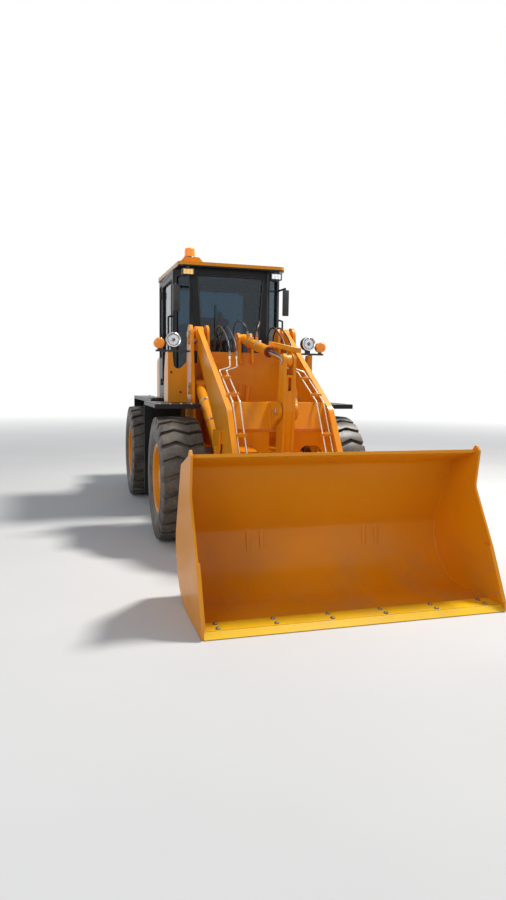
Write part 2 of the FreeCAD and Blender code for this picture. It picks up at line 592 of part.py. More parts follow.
def make_front_frame():
    low = 470.0
    base = 860.0
    tower_r = 100.0
    inner = [(-1640, 740), (-1640, base), (-1180, 930), (-1010, 1250), (BOOM_PIN[0] - tower_r, BOOM_PIN[1])]
    inner += [(BOOM_PIN[0] + tower_r, BOOM_PIN[1]), (-600, 1020), (-300, 1020), (-300, low), (-980, low)]
    inner += [(-1100, 740)]
    outer = [(-1150, base), (-1010, 1250), (BOOM_PIN[0] - tower_r, BOOM_PIN[1])]
    outer += [(BOOM_PIN[0] + tower_r, BOOM_PIN[1]), (-600, 1020), (-600, base)]
    solids = []
    for points, xs in ((inner, TOWER_IN), (outer, TOWER_OUT)):
        plate = fuse([plate_x(points, *xs), rod_x(xs[0], xs[1], BOOM_PIN[0], BOOM_PIN[1], tower_r)])
        solids += both(plate)
    solids += both(box(TOWER_IN[1] - 1, TOWER_OUT[0] + 1, -1150, -600, base, base + 25))
    web = box(TOWER_IN[1] - 1, TOWER_OUT[0] + 1, -660, -640, base, 1900)
    web = web.cut(box(440, 480, -661, -639, 1700, 1830))
    solids += both(web)
    wall_y = (-940, -915)
    wall = box(-TOWER_IN[1], TOWER_IN[1], wall_y[0], wall_y[1], 740, 1810)
    solids.append(wall)
    solids.append(box(-TOWER_IN[1], TOWER_IN[1], -1640, -1615, 740, base))
    solids.append(box(-TOWER_IN[1], TOWER_IN[1], -1640, -915, base - 25, base))
    solids.append(box(-TOWER_IN[1], TOWER_IN[1], -980, -300, low, low + 20))
    solids.append(box(-340, 340, wall_y[1] - 1, -838, PORT_Z - 52, PORT_Z))
    for foot_x in (-95, -15):
        solids.append(rod((foot_x, wall_y[0] - 14, 1000), (foot_x + 45, wall_y[0] - 14, 1480), 20))
    rear_plate = box(-TOWER_IN[1], TOWER_IN[1], -325, -300, low - 10, 1020)
    solids.append(rear_plate.cut(rod_y(0, -330, -290, AXLE_Z, 80)))
    solids.append(box(-FRONT_BEAM_X[1], FRONT_BEAM_X[1], -330, -250, low - 10, low + 30))
    solids.append(box(-FRONT_BEAM_X[1], FRONT_BEAM_X[1], -330, -250, 980, 1020))
    for z in HITCH_Z:
        solids.append(hitch_lug(-260.0, z - HITCH_T / 2, z + HITCH_T / 2, True))
    for z0 in (STEER_Z - 60, STEER_Z + 40):
        ear = fuse([box(385, 480, -330, STEER_FRONT[1], z0, z0 + 20),
                    rod_z(STEER_FRONT[0], STEER_FRONT[1], z0, z0 + 20, 45)])
        solids += both(ear)
    for z0 in (STEER_Z - 70, STEER_Z + 60):
        solids += both(rod_z(STEER_FRONT[0], STEER_FRONT[1], z0, z0 + 10, 24))
    solids += saddles(FRONT_AXLE_Y, TOWER_IN[0], TOWER_IN[1], 745)
    bracket = [(-1000, 1700), (-960, 1960), (TILT_FOOT[0] - 50, 2010), (TILT_FOOT[0] + 50, 2010)]
    bracket += [(-780, 1900), (-900, 1700)]
    solids += both(plate_x(bracket, 54, 78))
    solids.append(rod_x(-78, 78, TILT_FOOT[0], TILT_FOOT[1], 28))
    solids += both(rod_x(TOWER_IN[0], TOWER_OUT[1] + 12, BOOM_PIN[0], BOOM_PIN[1], 40))
    solids += both(rod_x(TOWER_IN[0], TOWER_OUT[1] + 10, LIFT_FOOT[0], LIFT_FOOT[1], 30))
    save("front_chassis", [fuse(solids)])
    save("front_axle", [axle(FRONT_AXLE_Y, 1)])
    ball = Part.makeSphere(JOINT_BALL_R, vec(0, 0, AXLE_Z))
    shaft = fuse([rod_y(0, FRONT_AXLE_Y + 325, -60, AXLE_Z, 38), rod_y(0, -61, 0, AXLE_Z, 22), ball])
    save("front_shaft", [shaft])
    fender = fuse([box(560, 990, -1420, -560, 1285, 1297), box(560, 990, -1432, -1420, 1255, 1297),
                   box(600, 990, -572, -560, 330, 1297), box(978, 990, -1432, -560, 1262, 1297)])
    save("front_fenders", both(fender))
    face = plate_y([(583, 1297), (767, 1297), (767, 1806), (735, 1806), (715, 1640, 40), (650, 1640, 40),
                    (583, 1710)], -826, -814)
    side = plate_x([(-826, 1297), (-826, 1806), (-650, 1806), (-560, 1600), (-560, 1297)], 767, 779)
    shelf = box(560, 900, -840, -790, 1806, 1824)
    lamp = fuse([rod_y(726, -850, -780, 1924, 73), box(700, 752, -830, -800, 1824, 1870)])
    amber = fuse([rod_y(868, -850, -790, 1890, 52), box(853, 883, -830, -800, 1824, 1850)])
    save("lamp_brackets", both(fuse([face, side])))
    save("headlamps", both(fuse([shelf, lamp, amber])))


def cylinder(foot, head, eye_r, body_r, rod_r, body_from, body_to, rod_from, half_foot, half_head, pin_r):
    """Barrel and rod of a hydraulic cylinder along +X, its foot eye at the origin; eyes turn about Z."""
    length = math.hypot(head[0] - foot[0], head[1] - foot[1])
    eye = rod_z(0, 0, -half_foot, half_foot, eye_r)
    barrel = fuse([eye, Part.makeCylinder(body_r, body_to - body_from, vec(body_from, 0, 0), vec(1, 0, 0)),
                   Part.makeCylinder(rod_r + 6, body_from + 5, vec(0, 0, 0), vec(1, 0, 0)),
                   Part.makeCylinder(body_r + 5, 70, vec(body_to - 70, 0, 0), vec(1, 0, 0))])
    barrel = barrel.cut(rod_z(0, 0, -half_foot - 9, half_foot + 9, pin_r + FIT))
    barrel = barrel.cut(Part.makeCylinder(rod_r + FIT, body_to, vec(body_from + 20, 0, 0), vec(1, 0, 0)))
    rod_end = rod_z(length, 0, -half_head, half_head, eye_r)
    shaft = Part.makeCylinder(rod_r, length - rod_from, vec(rod_from, 0, 0), vec(1, 0, 0))
    piston_rod = fuse([shaft, rod_end])
    return barrel, piston_rod


def lay_in_side_plane(solid, foot, head, x):
    """Turn a cylinder made along +X so that it lies between two pins of the side plane."""
    placed = solid.copy()
    placed.rotate(vec(0, 0, 0), vec(1, 1, 1), 120)
    heading = math.degrees(math.atan2(head[1] - foot[1], head[0] - foot[0]))
    placed.rotate(vec(0, 0, 0), vec(1, 0, 0), heading)
    placed.translate(vec(x, foot[0], foot[1]))
    return placed


def make_cylinders():
    barrel, piston = cylinder(LIFT_FOOT, LIFT_HEAD, 58, 50, 28, 65, 1085, 175, 45, 40, 30)
    barrels = both(lay_in_side_plane(barrel, LIFT_FOOT, LIFT_HEAD, ARM_X))
    rods = both(lay_in_side_plane(piston, LIFT_FOOT, LIFT_HEAD, ARM_X))
    save("lift_barrels", barrels)
    save("lift_rods", rods)
    barrel, piston = cylinder(TILT_FOOT, ROCKER_TOP, 52, 48, 26, 60, 930, 300, 48, 24, 28)
    ports = [rod_z(x, y, z - 66, z, 13) for x, y, z in TILT_PORTS]
    slope = (TILT_FOOT[1] - ROCKER_TOP[1]) / (TILT_FOOT[0] - ROCKER_TOP[0])
    bore_end = (TILT_FOOT[0] - 900, TILT_FOOT[1] - 900 * slope)
    bore = rod((0, *TILT_FOOT), (0, *bore_end), 40)
    ports = [port.cut(bore) for port in ports]
    save("tilt_barrel", [fuse([lay_in_side_plane(barrel, TILT_FOOT, ROCKER_TOP, 0)] + ports)])
    save("tilt_rod", [lay_in_side_plane(piston, TILT_FOOT, ROCKER_TOP, 0)])
    barrel, piston = cylinder(STEER_REAR, STEER_FRONT, 34, 36, 20, 40, 730, 400, 35, 35, 20)
    heading = math.degrees(math.atan2(STEER_FRONT[1] - STEER_REAR[1], STEER_FRONT[0] - STEER_REAR[0]))
    for name, solid in (("barrel", barrel), ("rod", piston)):
        placed = solid.copy()
        placed.rotate(vec(0, 0, 0), vec(0, 0, 1), heading)
        placed.translate(vec(STEER_REAR[0], STEER_REAR[1], STEER_Z))
        for side, whole in zip(("left", "right"), both(placed)):
            save("steer_" + name + "_" + side, [whole])


# Pipes on the arms: (upper x, lower x) of each pipe of a pair; then the places (y, z) along their runs
PIPE_R = 8.0
PIPE_X = ((310.0, 415.0), (245.0, 350.0))
PIPE_UPPER = ((-1530.0, 1745.0), (-1556.0, 1645.0))
PIPE_LOWER = ((-1556.0, 1612.0), (-2070.0, 1340.0), (-2320.0, 910.0), (-2470.0, 640.0))
PIPE_CLAMPS = ((-1680.0, 1546.0), (-1960.0, 1398.0), (-2230.0, 1065.0))

# Hoses: chosen places (y, z) from the ports behind the front wall to the pipes' upper ends,
# and (x, y, z) to the two ports of the tilt cylinder
HOSE_R = 8.0
PORT_Z = 1600.0
TILT_PORTS = ((-30.0, -1142.0, 1966.0), (30.0, -1250.0, 1953.5))
ARM_HOSE = ((-860, 1600.3), (-862, 1740), (-872, 1880), (-915, 2000), (-1020, 2062), (-1150, 2053),
            (-1275, 1998), (-1385, 1938), (-1468, 1874), (-1514.4, 1805), (-1529.9, 1745.5))
TILT_HOSE_A = ((-112, -860, 1600.3), (-113, -862, 1740), (-116, -870, 1880), (-120, -895, 2010), (-118, -960, 2100),
               (-100, -1045, 2125), (-70, -1112, 2092), (-38, -1139, 2032), (-30, -1142, 1967.2))
TILT_HOSE_B = ((112, -860, 1600.3), (113, -862, 1740), (116, -870, 1880), (118, -905, 2010), (112, -985, 2098),
               (100, -1085, 2122), (78, -1172, 2092), (46, -1230, 2050), (30.5, -1249.5, 2004), (30, -1250, 1953.9))

KNEE_TOP = (-2134.0, 1288.0)
BEAM_FACE = ((-2035.0, 1335.0), (-2125.0, 1110.0))


def make_boom():
    hub = 85.0
    tip = 76.0
    x0 = ARM_X - ARM_T / 2
    x1 = ARM_X + ARM_T / 2
    arm_points = [(BOOM_PIN[0] - 43, BOOM_PIN[1] + 73), (KNEE_TOP[0], KNEE_TOP[1], 160), (-2365, 927, 300)]
    arm_points += [(BUCKET_PIN[0] - 60, BUCKET_PIN[1] + 46), (BUCKET_PIN[0] + 55, BUCKET_PIN[1] - 52)]
    arm_points += [(-2100, 740, 150), (-1790, 1040, 200), (BOOM_PIN[0] + 40, BOOM_PIN[1] - 75)]
    arm = fuse([plate_x(arm_points, x0, x1), rod_x(x0 - 15, x1 + 15, BOOM_PIN[0], BOOM_PIN[1], hub),
                rod_x(x0, x1, BUCKET_PIN[0], BUCKET_PIN[1], tip)])
    arm = arm.cut(rod_x(x0 - 20, x1 + 20, BOOM_PIN[0], BOOM_PIN[1], 40 + FIT))
    arm = arm.cut(rod_x(x0 - 1, x1 + 1, BUCKET_PIN[0], BUCKET_PIN[1], 35 + FIT))
    cheek = [(-1780, 1080), (-2020, 1080), (-2010, 930), (LIFT_HEAD[0] - 60, LIFT_HEAD[1] - 20)]
    cheek += [(LIFT_HEAD[0] + 40, LIFT_HEAD[1] - 55), (-1800, 960)]
    block = plate_x([(-1800, 1090), (-2010, 1090), (-2010, 975), (-1960, 960), (-1840, 1040)], 400, 520)
    cheeks = [plate_x(cheek, 400, 418), plate_x(cheek, 502, 520), block]
    for xs in ((400, 418), (502, 520)):
        cheeks.append(rod_x(xs[0], xs[1], LIFT_HEAD[0], LIFT_HEAD[1], 68))
    cheeks.append(rod_x(520, 534, LIFT_HEAD[0], LIFT_HEAD[1], 34))
    solids = both(fuse([arm] + cheeks))
    beam = [BEAM_FACE[0], BEAM_FACE[1], (-2100, 1085), (-1880, 1085), (-1850, 1200), (-1880, 1335)]
    solids.append(plate_x(beam, -x0, x0))
    apron = plate_y([(90, 1100), (90, 870), (190, 870), (200, 960, 70), (390, 960, 70), (400, 870),
                     (x0 + 1, 870), (x0 + 1, 1100)], -2095, -2075)
    solids += both(apron)
    lug = [(-1985, 1335), (ROCKER_PIN[0], ROCKER_PIN[1] + 75), (ROCKER_PIN[0], ROCKER_PIN[1] - 75), (-2110, 1095)]
    lug += [(-1985, 1095)]
    ear = fuse([plate_x(lug, 58, 84), rod_x(58, 84, ROCKER_PIN[0], ROCKER_PIN[1], 75)])
    solids += both(ear)
    solids.append(rod_x(-98, 98, ROCKER_PIN[0], ROCKER_PIN[1], 30))
    save("boom", [fuse(solids)])


def make_arm_pipes():
    """Two pipes on the inner face of each arm, their clamps, and the couplings at their lower ends."""
    solids = []
    face = ARM_X - ARM_T / 2
    for upper_x, lower_x in PIPE_X:
        line = tube([(upper_x, y, z) for y, z in PIPE_UPPER] + [(lower_x, y, z) for y, z in PIPE_LOWER], PIPE_R, 24)
        end_y, end_z = PIPE_LOWER[-1]
        solids.append(line)
        solids.append(rod((lower_x, end_y + 22, end_z + 40), (lower_x, end_y - 9, end_z - 16), 14))
        top_y, top_z = PIPE_UPPER[0]
        solids.append(rod((upper_x, top_y - 7, top_z - 27), (upper_x, top_y, top_z), 13))
    inner_x = PIPE_X[1][1]
    for y, z in PIPE_CLAMPS:
        clamp = box(inner_x - 16, face - SEAT_GAP, y - 16, y + 16, z - 15, z + 15)
        solids.append(clamp)
    save("arm_pipes", both(fuse(solids)))


def make_hoses():
    """Hoses that hang free between the front frame and the arms, and to the tilt cylinder."""
    outer = [tube([(x, y, z) for y, z in ARM_HOSE], HOSE_R) for x, _ in PIPE_X]
    save("arm_hoses", both(outer[0]) + both(outer[1]))
    save("tilt_hoses", [tube(TILT_HOSE_A, HOSE_R), tube(TILT_HOSE_B, HOSE_R)])


def make_tilt_guard():
    """A bar beside the tilt cylinder, carried by a collar on its rod."""
    bar = plate_x([(-1535, 1892), (-1535, 1852), (-2330, 1753), (-2330, 1793)], 66, 100)
    axis_y = -2212.0
    share = (axis_y - TILT_FOOT[0]) / (ROCKER_TOP[0] - TILT_FOOT[0])
    axis_z = TILT_FOOT[1] + (ROCKER_TOP[1] - TILT_FOOT[1]) * share
    collar = fuse([rod_y(0, axis_y - 13, axis_y + 13, axis_z, 38),
                   box(0, 70, axis_y - 13, axis_y + 13, axis_z - 20, axis_z + 20),
                   box(60, 78, axis_y - 13, axis_y + 13, axis_z - 20, 1780)])
    heading = math.hypot(ROCKER_TOP[0] - TILT_FOOT[0], ROCKER_TOP[1] - TILT_FOOT[1])
    hole = Part.makeCylinder(26 + SEAT_GAP, heading, vec(0, TILT_FOOT[0], TILT_FOOT[1]),
                             vec(0, ROCKER_TOP[0] - TILT_FOOT[0], ROCKER_TOP[1] - TILT_FOOT[1]))
    save("tilt_guard", [fuse([bar, collar.cut(hole)])])


def make_rocker():
    sides = []
    for xs in ((28, 52), (-52, -28)):
        sides.append(strap(ROCKER_TOP, ROCKER_PIN, 62, 88, *xs))
        sides.append(strap(ROCKER_PIN, ROCKER_LOW, 88, 66, *xs))
    front = [(ROCKER_TOP[0] - 55, 1570), (ROCKER_PIN[0] - 86, ROCKER_PIN[1]), (ROCKER_LOW[0] - 66, 790)]
    back = [(ROCKER_LOW[0] + 66, 790), (ROCKER_PIN[0] + 86, ROCKER_PIN[1] - 40), (ROCKER_PIN[0] + 72, 1470)]
    web_t = 16
    front_web = front + [(p[0] + web_t, p[1]) for p in front[::-1]]
    back_web = back + [(p[0] - web_t, p[1]) for p in back[::-1]]
    body = fuse(sides + [plate_x(front_web, -29, 29), plate_x(back_web, -29, 29),
                         rod_x(-29, 29, ROCKER_PIN[0], ROCKER_PIN[1], 60)])
    body = body.cut(rod_x(-60, 60, ROCKER_PIN[0], ROCKER_PIN[1], 30 + FIT))
    body = body.cut(box(-14, 14, -2400, -2300, 1440, 1550))
    body = body.fuse(both(rod_x(52, 62, ROCKER_TOP[0], ROCKER_TOP[1], 30)))
    body = body.fuse(rod_x(-60, 60, ROCKER_LOW[0], ROCKER_LOW[1], 28))
    save("rocker", [body])
    link = strap(ROCKER_LOW, BUCKET_EYE, 56, 42, -24, 24)
    save("link", [link.cut(rod_x(-30, 30, ROCKER_LOW[0], ROCKER_LOW[1], 28 + FIT))])


def make_bucket():
    z0 = BUCKET_LIFT
    half = BUCKET_W / 2
    skin = 16.0
    heel_y = BUCKET_HEEL
    tip_y = 10 - REACH
    lip_y = heel_y - 470
    cheek_y = tip_y + 170
    back_y = heel_y - 205
    outside = [(tip_y + 50, z0), (heel_y, z0, 400), (heel_y, 440, 60), (back_y, 950, 60), (lip_y, 1035)]
    inside = [(lip_y + 5, 1017), (back_y - 8, 936, 44), (heel_y - skin, 437, 60), (heel_y - skin, z0 + 20, 384)]
    inside += [(tip_y + 50, z0 + 20)]
    shell = plate_x(outside + inside, -half + 1, half - 1)
    side = [(tip_y, z0), (heel_y, z0, 400), (heel_y, 440, 60), (back_y, 950, 60), (lip_y, 1035)]
    side += [(lip_y - 47, 1090, 20), (lip_y - 92, 1045, 20), (lip_y - 58, 790, 60), (cheek_y, 410), (tip_y, 60)]
    solids = [shell] + both(plate_x(side, half - skin, half))
    lip = [(lip_y + 25, 1022), (lip_y - 47, 1052), (lip_y - 55, 1030), (lip_y + 20, 1016)]
    solids.append(plate_x(lip, -half + 1, half - 1))
    strip = [(tip_y, z0 + 57), (tip_y + 60, z0 + 57), (cheek_y + 60, 410), (cheek_y, 410)]
    solids += both(plate_x(strip, half - skin - 10, half - skin + 1))
    rib = [(heel_y - 78, 190), (heel_y + 28, 270), (heel_y + 28, 455), (back_y + 36, 915), (back_y - 6, 930),
           (heel_y - 4, 440), (heel_y - 26, 300)]
    for rib_x in (210, 760):
        solids += both(plate_x(rib, rib_x, rib_x + 16))
    for xs in ((394, 424), (496, 526)):
        lug = [(heel_y - 12, 480), (BUCKET_PIN[0] - 44, BUCKET_PIN[1] + 48), (BUCKET_PIN[0], BUCKET_PIN[1] - 66)]
        lug += [(heel_y - 60, 130)]
        ear = fuse([plate_x(lug, *xs), rod_x(xs[0], xs[1], BUCKET_PIN[0], BUCKET_PIN[1], 72)])
        ear = ear.cut(rod_x(xs[0] - 1, xs[1] + 1, BUCKET_PIN[0], BUCKET_PIN[1], 35 + FIT))
        solids += both(ear)
    lug = [(heel_y - 125, 735), (BUCKET_EYE[0] + 5, BUCKET_EYE[1] + 56), (BUCKET_EYE[0] + 10, BUCKET_EYE[1] - 56)]
    lug += [(heel_y - 12, 420), (heel_y - 12, 460)]
    ear = fuse([plate_x(lug, 32, 58), rod_x(32, 58, BUCKET_EYE[0], BUCKET_EYE[1], 62),
                rod_x(58, 70, BUCKET_EYE[0], BUCKET_EYE[1], 32)])
    solids += both(ear)
    save("bucket", [fuse(solids)])
    edge = [(-REACH + 60, z0), (-REACH, z0), (-REACH, z0 + 3), (-REACH + 45, z0 + 34), (-REACH + 190, z0 + 34)]
    edge += [(-REACH + 190, z0 + 20), (-REACH + 60, z0 + 20)]
    save("cutting_edge", [plate_x(edge, -half + skin + 0.2, half - skin - 0.2)])
    save("bucket_pins", both(rod_x(388, 532, BUCKET_PIN[0], BUCKET_PIN[1], 35)))


make_wheels()
make_rear_frame()
make_hood()
make_platform()
make_cab()
make_roof()
make_cab_inside()
make_rear_fittings()
make_front_frame()
make_cylinders()
make_boom()
make_arm_pipes()
make_hoses()
make_tilt_guard()
make_rocker()
make_bucket()
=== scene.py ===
import json
import math

import bpy
from bpy.props import FloatProperty, FloatVectorProperty, IntProperty
from mathutils import Matrix, Vector

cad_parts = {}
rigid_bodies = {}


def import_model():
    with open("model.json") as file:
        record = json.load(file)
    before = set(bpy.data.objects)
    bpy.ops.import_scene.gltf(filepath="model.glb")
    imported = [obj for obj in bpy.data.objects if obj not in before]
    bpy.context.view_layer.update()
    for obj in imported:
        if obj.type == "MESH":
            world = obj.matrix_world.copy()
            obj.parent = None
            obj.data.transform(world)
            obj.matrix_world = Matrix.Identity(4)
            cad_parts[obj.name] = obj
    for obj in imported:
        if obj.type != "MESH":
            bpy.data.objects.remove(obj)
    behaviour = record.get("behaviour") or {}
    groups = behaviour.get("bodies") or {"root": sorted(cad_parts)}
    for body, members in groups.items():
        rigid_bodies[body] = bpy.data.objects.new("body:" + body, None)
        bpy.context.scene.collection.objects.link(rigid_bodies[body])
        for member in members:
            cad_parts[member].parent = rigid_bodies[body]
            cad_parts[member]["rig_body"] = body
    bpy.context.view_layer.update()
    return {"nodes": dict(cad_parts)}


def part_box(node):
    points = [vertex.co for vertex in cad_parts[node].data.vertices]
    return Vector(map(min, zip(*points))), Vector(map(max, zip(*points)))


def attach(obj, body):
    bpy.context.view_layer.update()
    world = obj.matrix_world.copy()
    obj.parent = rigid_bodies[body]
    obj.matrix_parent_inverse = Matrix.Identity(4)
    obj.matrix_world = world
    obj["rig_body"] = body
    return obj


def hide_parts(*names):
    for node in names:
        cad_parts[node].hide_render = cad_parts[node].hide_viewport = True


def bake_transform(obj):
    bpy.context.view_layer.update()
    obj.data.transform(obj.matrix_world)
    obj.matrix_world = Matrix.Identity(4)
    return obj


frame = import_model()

bl_info = {
    "name": "Wheel loader dressing",
    "version": (1, 0, 0),
    "blender": (4, 5, 0),
    "location": "3D View > Sidebar > Loader",
    "description": "Paint, tyres, hoses, lamps, cab trim and fittings for the articulated wheel loader",
    "category": "Object",
}

NODES = frame["nodes"]
SIDES = (("left", 1), ("right", -1))
AXLES = ("front", "rear")

# Metres. Places are measured from the articulation pivot, as in the part's source.
PIVOT_Y = 0.6175
OUT_X = Vector((1, 0, 0))
FORWARD = Vector((0, -1, 0))
UP = Vector((0, 0, 1))
ORIGIN = (0, 0, 0)


def at(x, y, z):
    """A place measured from the articulation pivot."""
    return Vector((x, y + PIVOT_Y, z))


def middle(node):
    """Centre of a CAD node's box."""
    low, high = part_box(node)
    return (low + high) / 2


def body_of(node):
    """Name of the body that carries a CAD node."""
    return NODES[node]["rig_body"]


def colour_setting(name, description, default):
    """A colour that a user can change."""
    return FloatVectorProperty(name=name, description=description, subtype="COLOR", size=3, min=0, max=1,
                               default=default)


def length_setting(name, description, default, low, high):
    """A length that a user can change, in metres."""
    return FloatProperty(name=name, description=description, subtype="DISTANCE", unit="LENGTH",
                         default=default, min=low, max=high)


class LoaderColours(bpy.types.PropertyGroup):
    """Colours of the machine's finishes."""

    paint: colour_setting("Machine paint", "Orange enamel of the frames and the arms", (0.80, 0.292, 0.004))
    blade: colour_setting("Blade paint", "Fresh yellow on the bucket's cutting edge", (0.90, 0.52, 0.012))
    black: colour_setting("Black paint", "Satin black of the cab and rear frame", (0.010, 0.011, 0.013))
    rubber: colour_setting("Rubber", "Tyre rubber before the dust", (0.020, 0.019, 0.019))
    dust: colour_setting("Dust", "Yard dust that settles low and in corners", (0.26, 0.205, 0.145))
    glass: colour_setting("Glass", "Blue-green tint of the cab's glass", (0.10, 0.20, 0.27))
    amber: colour_setting("Amber lens", "Turn lamps and the beacon", (0.95, 0.28, 0.01))
    red: colour_setting("Red lens", "Tail lamps and rear reflectors", (0.50, 0.012, 0.010))


class LoaderSizes(bpy.types.PropertyGroup):
    """Sizes of the pieces that dress the machine."""

    lug_bands: IntProperty(name="Tread bands", description="Lug bands round each tyre", default=24,
                           min=12, max=40)
    lug_height: length_setting("Lug height", "Depth of the grooves of the tread", 0.026, 0.005, 0.05)
    lug_length: length_setting("Lug length", "Length of one band along the tread", 0.112, 0.03, 0.2)
    wheel_nuts: IntProperty(name="Wheel nuts", description="Nuts on each wheel's bolt circle", default=10,
                            min=4, max=16)
    bolt: length_setting("Bolt head", "Width of the round heads of the edge bolts", 0.030, 0.01, 0.06)
    hose: length_setting("Hose", "Outer diameter of the hydraulic hoses", 0.016, 0.008, 0.03)


class Tone:
    """A number that a material's nodes work out, used in plain arithmetic."""

    def __init__(self, finish, socket):
        self.finish = finish
        self.socket = socket

    def _join(self, operation, first, second):
        return self.finish.node("ShaderNodeMath", {"operation": operation}, {0: first, 1: second})

    def __add__(self, other):
        return self._join("ADD", self, other)

    def __sub__(self, other):
        return self._join("SUBTRACT", self, other)

    def __mul__(self, other):
        return self._join("MULTIPLY", self, other)

    def __rsub__(self, other):
        return self._join("SUBTRACT", other, self)

    __radd__ = __add__
    __rmul__ = __mul__


class Finish:
    """One material: its nodes are made by node(), its surface by surface()."""

    def __init__(self, name):
        self.material = bpy.data.materials.new(name)
        self.material.use_nodes = True
        self.tree = self.material.node_tree
        self.shader = self.tree.nodes["Principled BSDF"]
        self.place = self.node("ShaderNodeTexCoord", {}, {}, "Object")

    def put(self, socket, value):
        """Set a socket to a number or colour, or link it to a tone."""
        if isinstance(value, Tone):
            self.tree.links.new(value.socket, socket)
            return
        if hasattr(socket.default_value, "__len__") and len(socket.default_value) == 4 and len(value) == 3:
            value = (*value, 1.0)
        socket.default_value = value

    def node(self, kind, settings, inputs, output=0):
        """Add a node: its settings first, then the values or links of its sockets."""
        made = self.tree.nodes.new(kind)
        for name, value in settings.items():
            setattr(made, name, value)
        for name, value in inputs.items():
            self.put(made.inputs[name], value)
        return Tone(self, made.outputs[output])

    def surface(self, **values):
        for name, value in values.items():
            self.put(self.shader.inputs[name.replace("_", " ")], value)
        return self.material

    def axis(self, letter):
        return self.node("ShaderNodeSeparateXYZ", {}, {0: self.place}, letter)

    def noise(self, scale, detail=4.0, stretch=(1, 1, 1), seed=0.0):
        """A grainy pattern from 0 to 1, drawn out along an axis by a small stretch."""
        where = self.node("ShaderNodeMapping", {}, {"Vector": self.place, "Location": (seed, seed, seed),
                                                    "Scale": stretch})
        return self.node("ShaderNodeTexNoise", {}, {"Vector": where, "Scale": scale, "Detail": detail})

    def between(self, value, low, high, at_low=0.0, at_high=1.0):
        """Spread a tone's range low..high to at_low..at_high and hold it there."""
        return self.node("ShaderNodeMapRange", {"clamp": True},
                         {"Value": value, "From Min": low, "From Max": high,
                          "To Min": at_low, "To Max": at_high})

    def larger(self, first, second):
        return self.node("ShaderNodeMath", {"operation": "MAXIMUM", "use_clamp": True}, {0: first, 1: second})

    def mix(self, part, first, second):
        """Blend two colours; part 0 is the first one."""
        return self.node("ShaderNodeMix", {"data_type": "RGBA"}, {0: part, 6: first, 7: second}, 2)

    def shade(self, colour, factor):
        """Make a colour lighter or darker by a tone."""
        grey = self.node("ShaderNodeCombineColor", {}, {0: factor, 1: factor, 2: factor})
        return self.node("ShaderNodeMix", {"data_type": "RGBA", "blend_type": "MULTIPLY"},
                         {0: 1.0, 6: colour, 7: grey}, 2)

    def bump(self, height, strength, depth, under=None):
        inputs = {"Height": height, "Strength": strength, "Distance": depth}
        if under is not None:
            inputs["Normal"] = under
        return self.node("ShaderNodeBump", {}, inputs)

    def soft_edges(self, radius):
        """Normals that round the edges of a CAD piece, so that they catch the light."""
        return self.node("ShaderNodeBevel", {"samples": 4}, {"Radius": radius})

    def upward(self):
        """1 on faces that look up, 0 on the rest."""
        normal = self.node("ShaderNodeNewGeometry", {}, {}, "Normal")
        return self.between(self.node("ShaderNodeSeparateXYZ", {}, {0: normal}, "Z"), 0.3, 0.95)


BARE = (0.10, 0.055, 0.03)
SHADOW_BLACK = (0.010, 0.010, 0.011)
CHROME = (0.78, 0.78, 0.80)
EDGE_SOFTNESS = 0.003


def enamel(name, colour, dust, low, high, gloss, dirt, chips=0.765, dark_below=None, coat=0.12):
    """Sprayed enamel: slightly uneven, a little dusty on top and low down, chipped, faint orange peel.

    The dust fades between the heights low and high, chips is the noise level past which the paint is gone,
    and the paint is black below the height dark_below.
    """
    made = Finish(name)
    uneven = made.between(made.noise(1.7, 3.0), 0.35, 0.65, 0.94, 1.04)
    streak = made.between(made.noise(16.0, 5.0, (1, 1, 0.07)), 0.56, 0.80, 0.0, 0.12)
    cloud = made.between(made.noise(5.5, 8.0, seed=3.0), 0.46, 0.72)
    low_dust = cloud * made.between(made.axis("Z"), low, high, 1.0, 0.08)
    top_dust = made.upward() * made.between(made.noise(9.0, 6.0, seed=7.0), 0.38, 0.75) * 0.35
    dusty = made.larger(low_dust * dirt, top_dust * dirt)
    base = made.shade(colour, uneven - streak)
    chip = made.between(made.noise(42.0, 8.0, seed=11.0), chips - 0.015, chips)
    base = made.mix(chip, base, BARE)
    if dark_below:
        above = made.between(made.axis("Z"), dark_below, dark_below + 0.001)
        base = made.mix(above, SHADOW_BLACK, base)
    grain = made.noise(420.0, 2.0)
    rough = dusty * 0.4 + (grain * 0.06 + gloss)
    return made.surface(Base_Color=made.mix(dusty, base, dust), Roughness=rough,
                        Specular_IOR_Level=0.22, Coat_Weight=coat - dusty * coat, Coat_Roughness=0.08,
                        Normal=made.bump(grain, 0.05, 0.0006, made.soft_edges(EDGE_SOFTNESS)))


